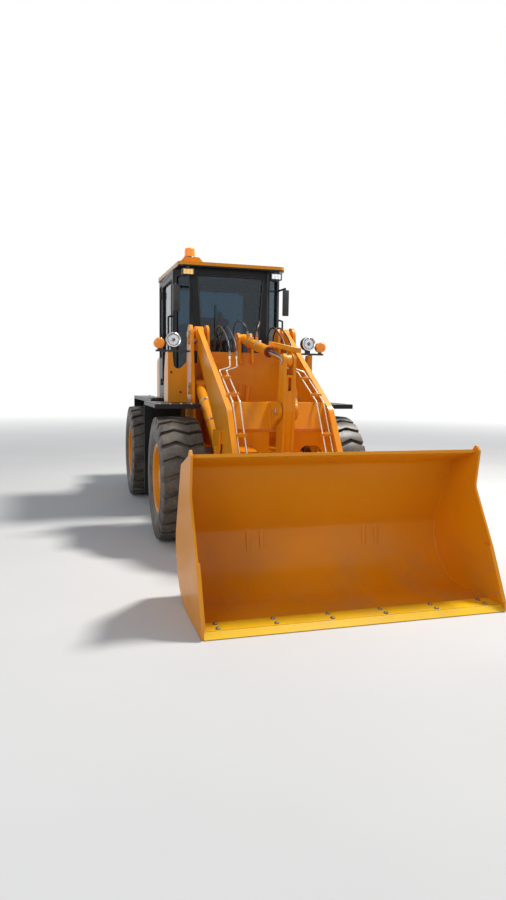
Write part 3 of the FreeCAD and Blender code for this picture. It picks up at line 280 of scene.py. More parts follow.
def bucket_enamel(name, colour, dust):
    """Paint of the bucket: scuffed along the digging direction and rubbed near the edge."""
    made = Finish(name)
    height = made.axis("Z")
    uneven = made.between(made.noise(1.3, 4.0), 0.3, 0.7, 0.90, 1.04)
    scuff = made.between(made.noise(34.0, 6.0, (1.0, 0.06, 0.2)), 0.58, 0.74)
    worn = scuff * made.between(height, 0.42, 0.04) * 0.14
    film = made.between(made.noise(3.2, 8.0, seed=5.0), 0.42, 0.74)
    film = film * made.between(height, 0.55, 0.02, 0.05, 0.55)
    near_edge = made.between(made.axis("Y"), -2.95, -3.2)
    rubbed = made.between(made.noise(90.0, 7.0, (1.0, 0.1, 0.3), seed=2.0), 0.62, 0.70) * near_edge * 0.6
    base = made.mix(worn, made.shade(colour, uneven), (0.23, 0.115, 0.045))
    base = made.mix(film * 0.5, base, dust)
    base = made.mix(rubbed, base, (0.36, 0.31, 0.26))
    grain = made.noise(300.0, 3.0)
    relief = made.bump(scuff, 0.05, 0.0005, made.soft_edges(EDGE_SOFTNESS))
    return made.surface(Base_Color=base, Metallic=rubbed * 0.8, Roughness=film * 0.4 + (grain * 0.10 + 0.33),
                        Specular_IOR_Level=0.25, Coat_Weight=0.15, Coat_Roughness=0.2,
                        Normal=made.bump(grain, 0.05, 0.0006, relief))


def bare_metal(name, colour, rough, streaks=0.2, rust=0.0):
    """Machined or plated steel with drawn streaks."""
    made = Finish(name)
    lines = made.noise(240.0, 4.0, (0.05, 1.0, 1.0))
    cloud = made.noise(14.0, 6.0, seed=4.0)
    spots = made.between(made.noise(30.0, 8.0, seed=9.0), 0.60, 0.70) * rust
    base = made.shade(colour, made.between(cloud, 0.3, 0.7, 0.84, 1.06))
    rust_red = (0.13, 0.055, 0.025)
    return made.surface(Base_Color=made.mix(spots, base, rust_red), Metallic=1.0 - spots * 0.8,
                        Roughness=made.between(lines, 0.3, 0.7, rough, rough + streaks) + spots * 0.3,
                        Normal=made.bump(lines, 0.04, 0.0004, made.soft_edges(0.0015)))


# Heights and places where a CAD piece changes its finish, in the part's frame
ROOF_DRIP = 2.755
TILT_EYE_Y = -1.618
LIFT_EYE_Y = -1.236


def rod_with_eye(name, paint, eye_y):
    """A cylinder's chromed rod, whose eye in front of eye_y is painted."""
    made = Finish(name)
    eye = made.between(made.axis("Y"), eye_y, eye_y + 0.002, 1.0, 0.0)
    lines = made.noise(240.0, 4.0, (1.0, 0.05, 1.0))
    steel = made.shade(CHROME, made.between(made.noise(14.0, 6.0, seed=4.0), 0.3, 0.7, 0.9, 1.04))
    return made.surface(Base_Color=made.mix(eye, steel, paint), Metallic=1.0 - eye,
                        Roughness=made.between(lines, 0.3, 0.7, 0.08, 0.2) + eye * 0.22,
                        Normal=made.bump(lines, 0.04, 0.0004, made.soft_edges(0.0015)))


def rough_casting(name, colour, dust):
    """Cast housings: painted, grainy and dusty."""
    made = Finish(name)
    grain = made.noise(110.0, 5.0)
    dirt = made.between(made.noise(7.0, 8.0, seed=6.0), 0.42, 0.70) * 0.4
    base = made.shade(colour, made.between(grain, 0.3, 0.7, 0.8, 1.1))
    return made.surface(Base_Color=made.mix(dirt, base, dust), Roughness=dirt * 0.3 + 0.5,
                        Normal=made.bump(grain, 0.35, 0.002, made.soft_edges(0.004)))


def tyre_rubber(name, colour, dust):
    """Black rubber, scrubbed grey on the lugs and dusty low down."""
    made = Finish(name)
    grain = made.noise(260.0, 5.0)
    cloud = made.between(made.noise(8.0, 8.0, seed=2.0), 0.36, 0.74)
    scrub = made.between(made.noise(55.0, 6.0, (1, 0.4, 0.4), seed=8.0), 0.35, 0.75)
    dusty = cloud * 0.34 + scrub * 0.22 * made.between(made.axis("Z"), 1.1, 0.1, 0.7, 1.0)
    base = made.shade(colour, made.between(grain, 0.3, 0.7, 0.8, 1.35))
    return made.surface(Base_Color=made.mix(dusty, base, dust), Roughness=dusty * 0.20 + 0.46,
                        Normal=made.bump(grain, 0.25, 0.0012))


def moulded(name, colour, rough=0.5, grain_size=500.0):
    """Moulded plastic or rubber trim with a fine grain."""
    made = Finish(name)
    grain = made.noise(grain_size, 3.0)
    cloud = made.between(made.noise(11.0, 6.0, seed=3.0), 0.4, 0.75, 0.0, 0.12)
    return made.surface(Base_Color=made.mix(cloud, colour, (0.20, 0.17, 0.14)), Roughness=cloud * 0.6 + rough,
                        Normal=made.bump(grain, 0.18, 0.0006, made.soft_edges(0.002)))


def tinted_glass(name, colour, clear=0.93):
    """Cab glass: a tint with a thin film of dust."""
    made = Finish(name)
    film = made.between(made.noise(4.0, 7.0), 0.42, 0.78, 0.0, 0.06)
    return made.surface(Base_Color=made.mix(film, colour, (0.42, 0.40, 0.36)), Roughness=film * 1.2 + 0.012,
                        Transmission_Weight=clear, IOR=1.45, Specular_IOR_Level=0.6)


def lens(name, colour, glow, rough=0.12):
    """Moulded lamp lens with fine flutes and a weak glow of its own."""
    made = Finish(name)
    flutes = made.node("ShaderNodeTexWave", {"wave_type": "BANDS", "bands_direction": "X"},
                       {"Vector": made.place, "Scale": 45.0, "Distortion": 0.2})
    speck = made.between(made.noise(60.0, 5.0), 0.5, 0.8, 0.0, 0.12)
    return made.surface(Base_Color=made.mix(speck, colour, (0.25, 0.2, 0.15)), Roughness=speck + rough,
                        Transmission_Weight=0.35, IOR=1.49, Emission_Color=colour, Emission_Strength=glow,
                        Normal=made.bump(flutes, 0.25, 0.001))


def vinyl(name, colour):
    """Seat cover: fine pebble grain, worn a little paler on its crown."""
    made = Finish(name)
    cells = made.node("ShaderNodeTexVoronoi", {}, {"Vector": made.place, "Scale": 420.0})
    worn = made.between(made.noise(6.0, 5.0), 0.45, 0.75, 0.0, 0.3)
    return made.surface(Base_Color=made.mix(worn, colour, (0.09, 0.085, 0.08)), Roughness=0.62 - worn * 0.3,
                        Normal=made.bump(cells, 0.3, 0.0008))


def hose_rubber(name, colour):
    """Hose cover: a fine wrapped-cloth pattern in black rubber."""
    made = Finish(name)
    wrap = made.node("ShaderNodeTexWave", {"wave_type": "BANDS", "bands_direction": "DIAGONAL"},
                     {"Vector": made.place, "Scale": 160.0, "Distortion": 0.6})
    scuff = made.between(made.noise(26.0, 6.0, seed=4.0), 0.48, 0.78, 0.0, 0.3)
    return made.surface(Base_Color=made.mix(scuff, colour, (0.16, 0.14, 0.12)), Roughness=scuff * 0.5 + 0.36,
                        Normal=made.bump(wrap, 0.2, 0.0005))


FINISHES = {}


def make_finishes(colours):
    """Build every material once, from the colours of the panel."""
    paint = tuple(colours.paint)
    dust = tuple(colours.dust)
    black = tuple(colours.black)
    FINISHES.update({
        "orange_paint": enamel("orange_enamel", paint, dust, 0.2, 1.3, 0.26, 0.28),
        "bucket": bucket_enamel("bucket_enamel", paint, dust),
        "blade": enamel("blade_yellow", tuple(colours.blade), dust, 0.0, 0.3, 0.28, 0.2, 0.74),
        "black_paint": enamel("black_satin", black, dust, 0.2, 1.6, 0.34, 0.10, coat=0.05),
        "roof_paint": enamel("roof_enamel", paint, dust, 0.2, 1.3, 0.26, 0.2, dark_below=ROOF_DRIP),
        "tilt_rod": rod_with_eye("tilt_rod_chrome", paint, TILT_EYE_Y),
        "lift_rod": rod_with_eye("lift_rod_chrome", paint, LIFT_EYE_Y),
        # Dark red enamel: the bracket bolts' own red, and painted shade on the cylinders' glands, which are
        # orange
        "red_paint_and_gland_shade": enamel("red_paint_and_painted_gland_shade", (0.16, 0.02, 0.012), dust, 0.2, 1.5, 0.4, 0.2),
        "chrome": bare_metal("hard_chrome", CHROME, 0.08, 0.12),
        "steel": bare_metal("worn_steel", (0.42, 0.40, 0.38), 0.30, 0.2, 0.5),
        "pipe": bare_metal("pipe_steel", (0.66, 0.58, 0.48), 0.22, 0.2, 0.1),
        "zinc": bare_metal("zinc_plate", (0.62, 0.60, 0.52), 0.28, 0.2, 0.15),
        "burnt": bare_metal("burnt_steel", (0.22, 0.18, 0.16), 0.42, 0.2, 0.9),
        "cast": rough_casting("cast_housing", (0.035, 0.035, 0.037), dust),
        "tyre": tyre_rubber("tyre_rubber", tuple(colours.rubber), dust),
        "trim": moulded("rubber_trim", (0.010, 0.010, 0.011), 0.48),
        "plastic": moulded("black_plastic", (0.018, 0.018, 0.020), 0.38),
        "hose": hose_rubber("hose_rubber", (0.014, 0.014, 0.015)),
        "glass": tinted_glass("cab_glass_tint", tuple(colours.glass)),
        "clear": tinted_glass("lamp_glass", (0.90, 0.92, 0.94)),
        "amber": lens("amber_lens", tuple(colours.amber), 0.3),
        "warm_lens": lens("warm_lens", (0.90, 0.62, 0.22), 0.35),
        "white_lens": lens("white_lens", (0.86, 0.88, 0.90), 0.35),
        "red_lens": lens("red_lens", tuple(colours.red), 0.15),
        "seat": vinyl("seat_vinyl", (0.022, 0.022, 0.024)),
        "mirror": bare_metal("mirror_face", (0.85, 0.87, 0.88), 0.02, 0.02),
        "plate": moulded("blank_plate", (0.55, 0.55, 0.53), 0.35),
    })


NODE_FINISH = {
    "orange_paint": ["front_chassis", "boom", "rocker", "link", "hood", "lamp_brackets", "lift_barrels",
                     "tilt_barrel", "tilt_guard", "rim_front_left", "rim_front_right", "rim_rear_left",
                     "rim_rear_right"],
    "bucket": ["bucket"],
    "blade": ["cutting_edge"],
    "black_paint": ["cab_shell", "door_left", "door_right", "front_fenders", "steer_barrel_left",
                    "steer_barrel_right", "mirrors", "stack_and_cleaner", "grille", "rear_chassis",
                    "counterweight", "cab_deck", "rear_fenders", "tanks_and_steps"],
    "roof_paint": ["roof"],
    "lift_rod": ["lift_rods"],
    "tilt_rod": ["tilt_rod"],
    "chrome": ["steer_rod_left", "steer_rod_right"],
    "steel": ["bucket_pins", "front_shaft"],
    "pipe": ["arm_pipes"],
    "cast": ["front_axle", "rear_axle", "engine_and_gearbox"],
    "tyre": ["tyre_front_left", "tyre_front_right", "tyre_rear_left", "tyre_rear_right"],
    "glass": ["cab_glass", "door_glass_left", "door_glass_right"],
    "hose": ["arm_hoses", "tilt_hoses"],
    "amber": ["beacon"],
    "plastic": ["console", "headlamps", "roof_lamps"],
    "red_lens": ["tail_lamps"],
    "seat": ["seat"],
}


def dress(piece, finish):
    """Give a piece one finish from the table."""
    piece.data.materials.clear()
    piece.data.materials.append(FINISHES[finish])


def start_clean():
    """Leave edit mode and select nothing."""
    if bpy.context.mode != "OBJECT":
        bpy.ops.object.mode_set(mode="OBJECT")
    bpy.ops.object.select_all(action="DESELECT")


def pick(piece):
    start_clean()
    piece.select_set(True)
    bpy.context.view_layer.objects.active = piece


def settle(name):
    """Put the active piece's place into its mesh and name it."""
    piece = bpy.context.object
    pick(piece)
    bpy.ops.object.transform_apply(location=True, rotation=True, scale=True)
    piece.name = name
    piece.data.name = name
    return piece


def round_off(piece, width, steps=2, angle=30):
    """Bevel the piece's sharp edges and keep its curves smooth."""
    pick(piece)
    if width > 0:
        soft = piece.modifiers.new("edges", "BEVEL")
        soft.width = width
        soft.segments = steps
        soft.limit_method = "ANGLE"
        soft.angle_limit = math.radians(angle)
        bpy.ops.object.modifier_apply(modifier=soft.name)
    bpy.ops.object.shade_smooth_by_angle(angle=math.radians(35))
    return piece


def block(name, low, high, soft=0.002):
    """A bevelled block between two corners, given in any order."""
    start_clean()
    low = Vector(low)
    high = Vector(high)
    bpy.ops.mesh.primitive_cube_add(size=1, location=(low + high) / 2)
    bpy.context.object.scale = [abs(part) for part in high - low]
    return round_off(settle(name), soft)


def turn_to(direction):
    """Rotation that takes +Z to a direction."""
    return Vector(direction).to_track_quat("Z", "Y")


def drum(name, start, end, radius, sides=32, soft=0.002):
    """A cylinder between two points, its rims bevelled."""
    start_clean()
    start = Vector(start)
    end = Vector(end)
    bpy.ops.mesh.primitive_cylinder_add(vertices=sides, radius=radius, depth=(end - start).length,
                                        location=(start + end) / 2, rotation=turn_to(end - start).to_euler())
    return round_off(settle(name), soft)


def drawn(name, points):
    """Draw a line through the points by extruding one vertex; edit mode stays on."""
    start_clean()
    bpy.ops.mesh.primitive_plane_add(size=0.002, location=points[0])
    piece = settle(name)
    bpy.ops.object.mode_set(mode="EDIT")
    bpy.ops.mesh.select_mode(type="VERT")
    bpy.ops.mesh.select_all(action="SELECT")
    bpy.ops.mesh.merge(type="CENTER")
    for before, after in zip(points, points[1:]):
        bpy.ops.mesh.extrude_region_move(TRANSFORM_OT_translate={"value": Vector(after) - Vector(before)})
    bpy.ops.mesh.select_all(action="SELECT")
    return piece


def turned(name, profile, centre, direction, steps=48):
    """Spin an outline of (distance along the axis, radius) round an axis through the centre."""
    piece = drawn(name, [Vector((radius, 0.0, along)) for along, radius in profile])
    bpy.ops.mesh.spin(steps=steps, angle=2 * math.pi, center=(0, 0, 0), axis=(0, 0, 1))
    bpy.ops.mesh.select_all(action="SELECT")
    bpy.ops.mesh.remove_doubles(threshold=0.00005)
    bpy.ops.mesh.normals_make_consistent(inside=False)
    bpy.ops.object.mode_set(mode="OBJECT")
    piece.rotation_euler = turn_to(direction).to_euler()
    piece.location = centre
    piece = settle(name)
    bpy.ops.object.shade_smooth_by_angle(angle=math.radians(35))
    return piece


def bent_line(name, points, order=3, closed=False):
    """A NURBS line with the points as its control points."""
    start_clean()
    curve = bpy.data.curves.new(name, "CURVE")
    curve.dimensions = "3D"
    spline = curve.splines.new("NURBS")
    spline.points.add(len(points) - 1)
    for knot, place in zip(spline.points, points):
        knot.co = (*place, 1.0)
    spline.order_u = order
    spline.use_endpoint_u = not closed
    spline.use_cyclic_u = closed
    spline.resolution_u = 8
    piece = bpy.data.objects.new(name, curve)
    bpy.context.scene.collection.objects.link(piece)
    return piece


def line_points(piece):
    """Points along a curve that has no thickness yet, in order."""
    bpy.context.view_layer.update()
    mesh = bpy.data.meshes.new_from_object(piece.evaluated_get(bpy.context.evaluated_depsgraph_get()))
    points = [vertex.co.copy() for vertex in mesh.vertices]
    bpy.data.meshes.remove(mesh)
    return points


def thickened(piece, radius, sides=3):
    """Give a curve a round section and make it a mesh."""
    piece.data.bevel_depth = radius
    piece.data.bevel_resolution = sides
    piece.data.use_fill_caps = True
    pick(piece)
    bpy.ops.object.convert(target="MESH")
    piece = bpy.context.object
    bpy.ops.object.shade_smooth()
    return piece


def strip(name, points, radius, order=2, closed=True):
    """A round cord-like strip along points, such as a seal or a weld."""
    return thickened(bent_line(name, points, order, closed), radius, 2)


def rod(name, points, radius):
    """A round rod or a weld bead that bends smoothly along points, open at its ends."""
    return strip(name, points, radius, 3, False)


def twin(piece, place):
    """A copy of a piece with its own mesh, moved by a matrix."""
    copy = piece.copy()
    copy.data = piece.data.copy()
    bpy.context.scene.collection.objects.link(copy)
    copy.data.transform(place)
    if place.determinant() < 0:
        copy.data.flip_normals()
    return copy


def joined(name, pieces):
    """Make one piece of several."""
    start_clean()
    for piece in pieces:
        piece.select_set(True)
    bpy.context.view_layer.objects.active = pieces[0]
    if len(pieces) > 1:
        bpy.ops.object.join()
    return settle(name)


def copies(name, pattern, places):
    """Copies of one pattern at the places, made one piece; the pattern goes."""
    made = joined(name, [twin(pattern, place) for place in places])
    bpy.data.objects.remove(pattern)
    return made


def fit(piece, body, finish):
    """Finish a piece: its material and the body it rides on."""
    dress(piece, finish)
    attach(piece, body)
    return piece


def facing(centre, direction):
    """Matrix that puts a pattern made along +Z at a place, looking along a direction."""
    return Matrix.Translation(centre) @ turn_to(direction).to_matrix().to_4x4()


def bolt_pattern(width, height):
    """A hexagon head on its washer, made along +Z from the origin."""
    washer = drum("washer", (0, 0, 0), (0, 0, height * 0.25), width * 0.72, 16, height * 0.06)
    head = drum("head", (0, 0, height * 0.2), (0, 0, height), width * 0.577, 6, height * 0.1)
    return joined("bolt_pattern", [head, washer])


def bolts(name, spots, direction, width=0.024, height=0.014):
    """Like bolts at several spots, all looking one way."""
    return copies(name, bolt_pattern(width, height), [facing(spot, direction) for spot in spots])


def pin_lock(reach):
    """A keeper bar held by two bolts, made flat at the origin and lying along +Y."""
    bar = block("bar", (-0.015, 0.0, 0.0), (0.015, reach, 0.008), 0.002)
    heads = bolts("bar_bolts", [(0, reach * 0.42, 0.008), (0, reach * 0.8, 0.008)], UP, 0.018, 0.009)
    return joined("pin_lock", [bar, heads])


def pin_end(centre, side, radius):
    """The chamfered end of a pin with its grease nipple."""
    rim = radius * 0.97
    face = [(-0.004, 0.0), (-0.004, rim), (0.001, rim), (0.004, radius * 0.86), (0.004, radius * 0.3),
            (0.002, radius * 0.22), (0.002, 0.0)]
    grease = [(0.000, 0.0), (0.000, 0.0055), (0.006, 0.0055), (0.007, 0.003), (0.012, 0.0035),
              (0.014, 0.002), (0.014, 0.0)]
    disc = turned("disc", face, centre, OUT_X * side, 32)
    nipple = turned("nipple", grease, centre, OUT_X * side, 12)
    return joined("pin_end", [disc, nipple])


def rounded(corners, radius, steps=6, closed=True):
    """The points of an outline with its corners rounded, by one radius or by one for each corner."""
    count = len(corners)
    points = []
    for number, corner in enumerate(corners):
        if not closed and number in (0, count - 1):
            points.append(Vector(corner))
            continue
        corner = Vector(corner)
        back = Vector(corners[number - 1]) - corner
        ahead = Vector(corners[(number + 1) % count]) - corner
        bend = radius[number] if isinstance(radius, (list, tuple)) else radius
        half = back.angle(ahead) / 2
        reach = min(bend / math.tan(half), back.length * 0.95, ahead.length * 0.95)
        if reach < 1e-5:
            points.append(corner)
            continue
        centre = corner + (back.normalized() + ahead.normalized()).normalized() * (reach / math.cos(half))
        first = corner + back.normalized() * reach - centre
        last = corner + ahead.normalized() * reach - centre
        for step in range(steps + 1):
            turn = first.normalized().slerp(last.normalized(), step / steps)
            points.append(centre + turn * first.length)
    return points


class Paint_OT_finishes(bpy.types.Operator):
    """Make the materials and give each CAD piece its finish"""

    bl_idname = "loader.finishes"
    bl_label = "Finishes"

    def execute(self, context):
        make_finishes(context.scene.loader_colours)
        left = set(NODES)
        for finish, nodes in NODE_FINISH.items():
            for node in nodes:
                dress(NODES[node], finish)
                left.discard(node)
        if left:
            raise RuntimeError("no finish for " + ", ".join(sorted(left)))
        return {"FINISHED"}


# Chosen places of the hoses, from the ports behind the front wall: (y, z) for those to the arms' pipes at
# the x of each pipe, and (x, y, z) for the two to the tilt cylinder
ARM_HOSE_X = (0.310, 0.245)
ARM_HOSE = ((-0.860, 1.6003), (-0.862, 1.740), (-0.872, 1.880), (-0.915, 2.000), (-1.020, 2.062),
            (-1.150, 2.053), (-1.275, 1.998), (-1.385, 1.938), (-1.468, 1.874), (-1.5144, 1.805),
            (-1.5299, 1.7455))
TILT_HOSES = (
    ((-0.112, -0.860, 1.6003), (-0.113, -0.862, 1.740), (-0.116, -0.870, 1.880), (-0.120, -0.895, 2.010),
     (-0.118, -0.960, 2.100), (-0.100, -1.045, 2.125), (-0.070, -1.112, 2.092), (-0.038, -1.139, 2.032),
     (-0.030, -1.142, 1.9672)),
    ((0.112, -0.860, 1.6003), (0.113, -0.862, 1.740), (0.116, -0.870, 1.880), (0.118, -0.905, 2.010),
     (0.112, -0.985, 2.098), (0.100, -1.085, 2.122), (0.078, -1.172, 2.092), (0.046, -1.230, 2.050),
     (0.0305, -1.2495, 2.004), (0.030, -1.250, 1.9539)),
)
ARM_HOSE_LENGTH = 1.160
TILT_HOSE_LENGTHS = (0.822, 0.902)


def hose_end(name, place, direction, body):
    """A crimped sleeve and its hexagon nut, round the end of a hose."""
    crimps = [(0.000, 0.0), (0.000, 0.0125), (0.014, 0.0125), (0.016, 0.0112), (0.022, 0.0118),
              (0.028, 0.0112), (0.034, 0.0118), (0.040, 0.0112), (0.044, 0.0096), (0.044, 0.0)]
    sleeve = turned("sleeve", crimps, place, direction, 20)
    nut = drum("nut", place, place + direction * 0.013, 0.0155, 6, 0.001)
    return fit(joined(name, [sleeve, nut]), body, "burnt")


def hose(name, route, length, node, far_body, size):
    """A hose on its route, bent between the front frame and the piece that it feeds."""
    line = bent_line(name, [at(*place) for place in route])
    path = line_points(line)
    piece = thickened(line, size / 2)
    dress(piece, "hose")
    ends = [hose_end(name + "_foot", path[0], (path[4] - path[0]).normalized(), "front_frame"),
            hose_end(name + "_head", path[-1], (path[-5] - path[-1]).normalized(), far_body)]
    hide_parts(node)
    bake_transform(piece)
    return piece


class Hoses_OT_hoses(bpy.types.Operator):
    """Hydraulic hoses from the valve block to the arms' pipes and to the tilt cylinder"""

    bl_idname = "loader.hoses"
    bl_label = "Hoses"

    def execute(self, context):
        size = context.scene.loader_sizes.hose
        for side_name, side in SIDES:
            for number, x in enumerate(ARM_HOSE_X):
                route = [(side * x, y, z) for y, z in ARM_HOSE]
                hose(f"arm_hose_{side_name}_{number + 1}", route, ARM_HOSE_LENGTH, "arm_hoses", "boom", size)
        for number, route in enumerate(TILT_HOSES):
            hose(f"tilt_hose_{number + 1}", route, TILT_HOSE_LENGTHS[number], "tilt_hoses",
                 body_of("tilt_barrel"), size)
        return {"FINISHED"}


# Tyres: radius over the lugs, half of the greatest width, and (x, radius) of the side wall up to the tread
TREAD_R = 0.5885
TYRE_HALF = 0.2045
SIDE_WALL = ((-0.150, 0.312), (-0.178, 0.338), (-0.186, 0.352), (-0.189, 0.372), (-0.1935, 0.376),
             (-0.1945, 0.386), (-0.196, 0.392), (-0.2025, 0.425), (-TYRE_HALF, 0.446), (-TYRE_HALF, 0.4465),
             (-TYRE_HALF, 0.456), (-0.2025, 0.458), (-0.2020, 0.470), (-0.200, 0.500), (-0.190, 0.532))
# A lug band: (share of its half width, place along the tread) of its zigzag, its half width between the
# shoulders and at their outer face and foot, and the shoulders' radii
LUG_ZIGZAG = ((-1.0, 0.012), (-0.97, 0.011), (-0.62, -0.006), (-0.33, -0.028), (0.0, 0.0), (0.33, 0.028),
              (0.62, 0.006), (0.97, -0.011), (1.0, -0.012))
LUG_HALF = 0.188
LUG_END_FACE = 0.187
LUG_END_FOOT = 0.2005
SHOULDER_R = 0.580
SHOULDER_FOOT_R = 0.500


def tread_band(sizes):
    """One lug band wrapped on the carcass: a zigzag bar with shoulders, its middle at the top of the tyre."""
    low = TREAD_R - sizes.lug_height
    band = drawn("tread_band", [Vector((x, y - sizes.lug_length / 2, 0)) for x, y in LUG_ZIGZAG])
    bpy.ops.mesh.extrude_region_move(TRANSFORM_OT_translate={"value": (0, sizes.lug_length, 0)})
    bpy.ops.mesh.select_all(action="SELECT")
    bpy.ops.mesh.extrude_region_move(TRANSFORM_OT_translate={"value": (0, 0, 1)})
    bpy.ops.mesh.select_all(action="SELECT")
    bpy.ops.mesh.normals_make_consistent(inside=False)
    bpy.ops.object.mode_set(mode="OBJECT")
    for vertex in band.data.vertices:
        share, along, height = vertex.co
        outer = height > 0.5
        crown = LUG_HALF * share
        radius = TREAD_R - 0.009 * abs(share) ** 3 if outer else low - 0.012
        if abs(share) > 0.98:
            crown = math.copysign(LUG_END_FACE if outer else LUG_END_FOOT, share)
            radius = SHOULDER_R if outer else SHOULDER_FOOT_R
        elif abs(share) > 0.9 and not outer:
            radius = low - 0.030
        angle = along / TREAD_R
        vertex.co = (crown, radius * math.sin(angle), radius * math.cos(angle))
    return round_off(band, 0.005, 2, 40)


def make_tyre(sizes):
    """A tyre on the X axis at the origin: its carcass spun, its lug bands copied round."""
    low = TREAD_R - sizes.lug_height
    profile = [*SIDE_WALL, (-0.176, low - 0.014), (-0.150, low - 0.003), (-0.09, low)]
    profile += [(-x, r) for x, r in profile[::-1]]
    carcass = turned("carcass", profile, (0, 0, 0), OUT_X, 96)
    turn = 2 * math.pi / sizes.lug_bands
    bands = copies("bands", tread_band(sizes),
                   [Matrix.Rotation(turn * number, 4, "X") for number in range(sizes.lug_bands)])
    return joined("tyre_pattern", [carcass, bands])


def on_wheels(pattern, name, finish, stands_for=None):
    """Copy a pattern made for the left side at the origin to the four wheels."""
    for place in AXLES:
        for side_name, side in SIDES:
            low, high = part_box(f"rim_{place}_{side_name}")
            wheel = f"tyre_{place}_{side_name}"
            spot = Vector((middle(wheel).x, (low.y + high.y) / 2, (low.z + high.z) / 2))
            piece = twin(pattern, Matrix.Translation(spot) @ Matrix.Scale(side, 4, OUT_X))
            piece.name = f"{name}_{place}_{side_name}"
            fit(piece, body_of(wheel), finish)
            if stands_for:
                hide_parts(wheel)
    bpy.data.objects.remove(pattern)


class Wheels_OT_tyres(bpy.types.Operator):
    """Tyres with their tread, which stand for the plain tyres"""

    bl_idname = "loader.tyres"
    bl_label = "Tyres"

    def execute(self, context):
        on_wheels(make_tyre(context.scene.loader_sizes), "tread", "tyre", True)
        return {"FINISHED"}


def round_spots(count, radius, x, phase=0.5):
    """Places on a circle about the X axis."""
    spots = []
    for number in range(count):
        angle = 2 * math.pi * (number + phase) / count
        spots.append(Vector((x, radius * math.cos(angle), radius * math.sin(angle))))
    return spots


# Rims, in (x, radius) from the wheel's centre plane
NUT_CIRCLE_R = 0.212
RIM_FACE_X = 0.030
HUB_COVER = ((0.136, 0.0), (0.136, 0.066), (0.146, 0.066), (0.150, 0.060), (0.150, 0.026), (0.147, 0.020),
             (0.147, 0.0))
HUB_SCREWS = 8
HUB_SCREW_CIRCLE = (0.104, 0.138)
LOCK_RING = ((0.160, 0.312), (0.166, 0.330), (0.171, 0.334), (0.174, 0.330), (0.171, 0.318), (0.160, 0.312))


class Wheels_OT_hubs(bpy.types.Operator):
    """Wheel nuts, lock rings, hub covers and valves on the rims"""

    bl_idname = "loader.hubs"
    bl_label = "Wheel nuts and hubs"

    def execute(self, context):
        spots = round_spots(context.scene.loader_sizes.wheel_nuts, NUT_CIRCLE_R, RIM_FACE_X)
        studs = copies("studs", drum("stud", ORIGIN, (0, 0, 0.036), 0.009, 10, 0.001),
                       [facing(spot, OUT_X) for spot in spots])
        nuts = bolts("nuts", spots, OUT_X, 0.030, 0.024)
        on_wheels(joined("nuts", [nuts, studs]), "wheel_nuts", "zinc")
        cover = turned("cover", HUB_COVER, ORIGIN, OUT_X, 40)
        screws = bolts("cover_screws", round_spots(HUB_SCREWS, *HUB_SCREW_CIRCLE, 0), OUT_X, 0.018, 0.010)
        on_wheels(joined("hub_cover", [cover, screws]), "hub_cover", "orange_paint")
        ring = turned("lock_ring", LOCK_RING, ORIGIN, OUT_X, 72)
        on_wheels(ring, "lock_ring", "orange_paint")
        stem = drum("valve", (0.030, 0, -0.252), (0.082, 0, -0.262), 0.006, 12, 0.001)
        cap = drum("cap", (0.080, 0, -0.2615), (0.092, 0, -0.264), 0.0075, 12, 0.001)
        on_wheels(joined("valve", [stem, cap]), "valve", "trim")
        return {"FINISHED"}


# Bolts along the cutting edge, their distance from its ends, their rows as shares of its depth, and the seam's
# distances behind its lip
EDGE_BOLTS = 6
EDGE_MARGIN = 0.10
EDGE_ROWS = (0.42, 0.84)
EDGE_SEAM = (0.0475, 0.0505)
# Inside of the bucket: x of its sides, (y, z) of the corner that a side makes with the sheet, the radius of
# each bend, and the lip on top
BUCKET_INSIDE_X = 1.024
SIDE_CORNER = ((-3.66, 0.025), (-2.953, 0.025), (-2.953, 0.436), (-3.150, 0.935), (-3.395, 1.016))
SIDE_BENDS = (0, 0.384, 0.06, 0.044, 0)
LIP_SLOPE = ((-3.392, 1.014), (-3.448, 1.026))
LIP_INSIDE = (-3.385, 1.0155)


class Bucket_OT_edge(bpy.types.Operator):
    """Paired bolts and the seam of the cutting edge, and the weld lines inside the bucket"""

    bl_idname = "loader.bucket_edge"
    bl_label = "Bucket edge and welds"

    def bolts_of_edge(self, bolt, low, high):
        """Round-headed bolts in two rows along the edge."""
        profile = [(-0.002, 0.0), (-0.002, bolt / 2), (0.005, bolt / 2), (0.010, bolt * 0.36),
                   (0.012, bolt * 0.2), (0.012, 0.0)]
        head = turned("head", profile, ORIGIN, UP, 20)
        spots = []
        for number in range(EDGE_BOLTS):
            x = low.x + EDGE_MARGIN + (high.x - low.x - 2 * EDGE_MARGIN) * number / (EDGE_BOLTS - 1)
            for depth in EDGE_ROWS:
                spots.append(Matrix.Translation((x, low.y + (high.y - low.y) * depth, high.z)))
        fit(copies("edge_bolts", head, spots), "bucket", "burnt")

    def execute(self, context):
        low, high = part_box("cutting_edge")
        self.bolts_of_edge(context.scene.loader_sizes.bolt, low, high)
        near, far = EDGE_SEAM
        seam = block("edge_seam", (low.x + 0.004, low.y + near, high.z - 0.004),
                     (high.x - 0.004, low.y + far, high.z + 0.0005), 0.0003)
        fit(seam, "bucket", "trim")
        step = block("edge_step", (low.x, high.y - 0.002, high.z - 0.012),
                     (high.x, high.y + 0.007, high.z - 0.003), 0.003)
        fit(step, "bucket", "bucket")
        for side_name, side in SIDES:
            x = side * BUCKET_INSIDE_X
            corner = rounded([at(x, y, z) for y, z in SIDE_CORNER], SIDE_BENDS, 14, False)
            weld = strip(f"bucket_weld_{side_name}", corner, 0.006, 2, False)
            fit(weld, "bucket", "bucket")
            bead = strip(f"lip_weld_{side_name}", [at(x, y, z) for y, z in LIP_SLOPE], 0.005, 2, False)
            fit(bead, "bucket", "bucket")
        back = strip("lip_weld_long", [at(x, *LIP_INSIDE) for x in (-BUCKET_INSIDE_X, BUCKET_INSIDE_X)],
                     0.005, 2, False)
        fit(back, "bucket", "bucket")
        return {"FINISHED"}


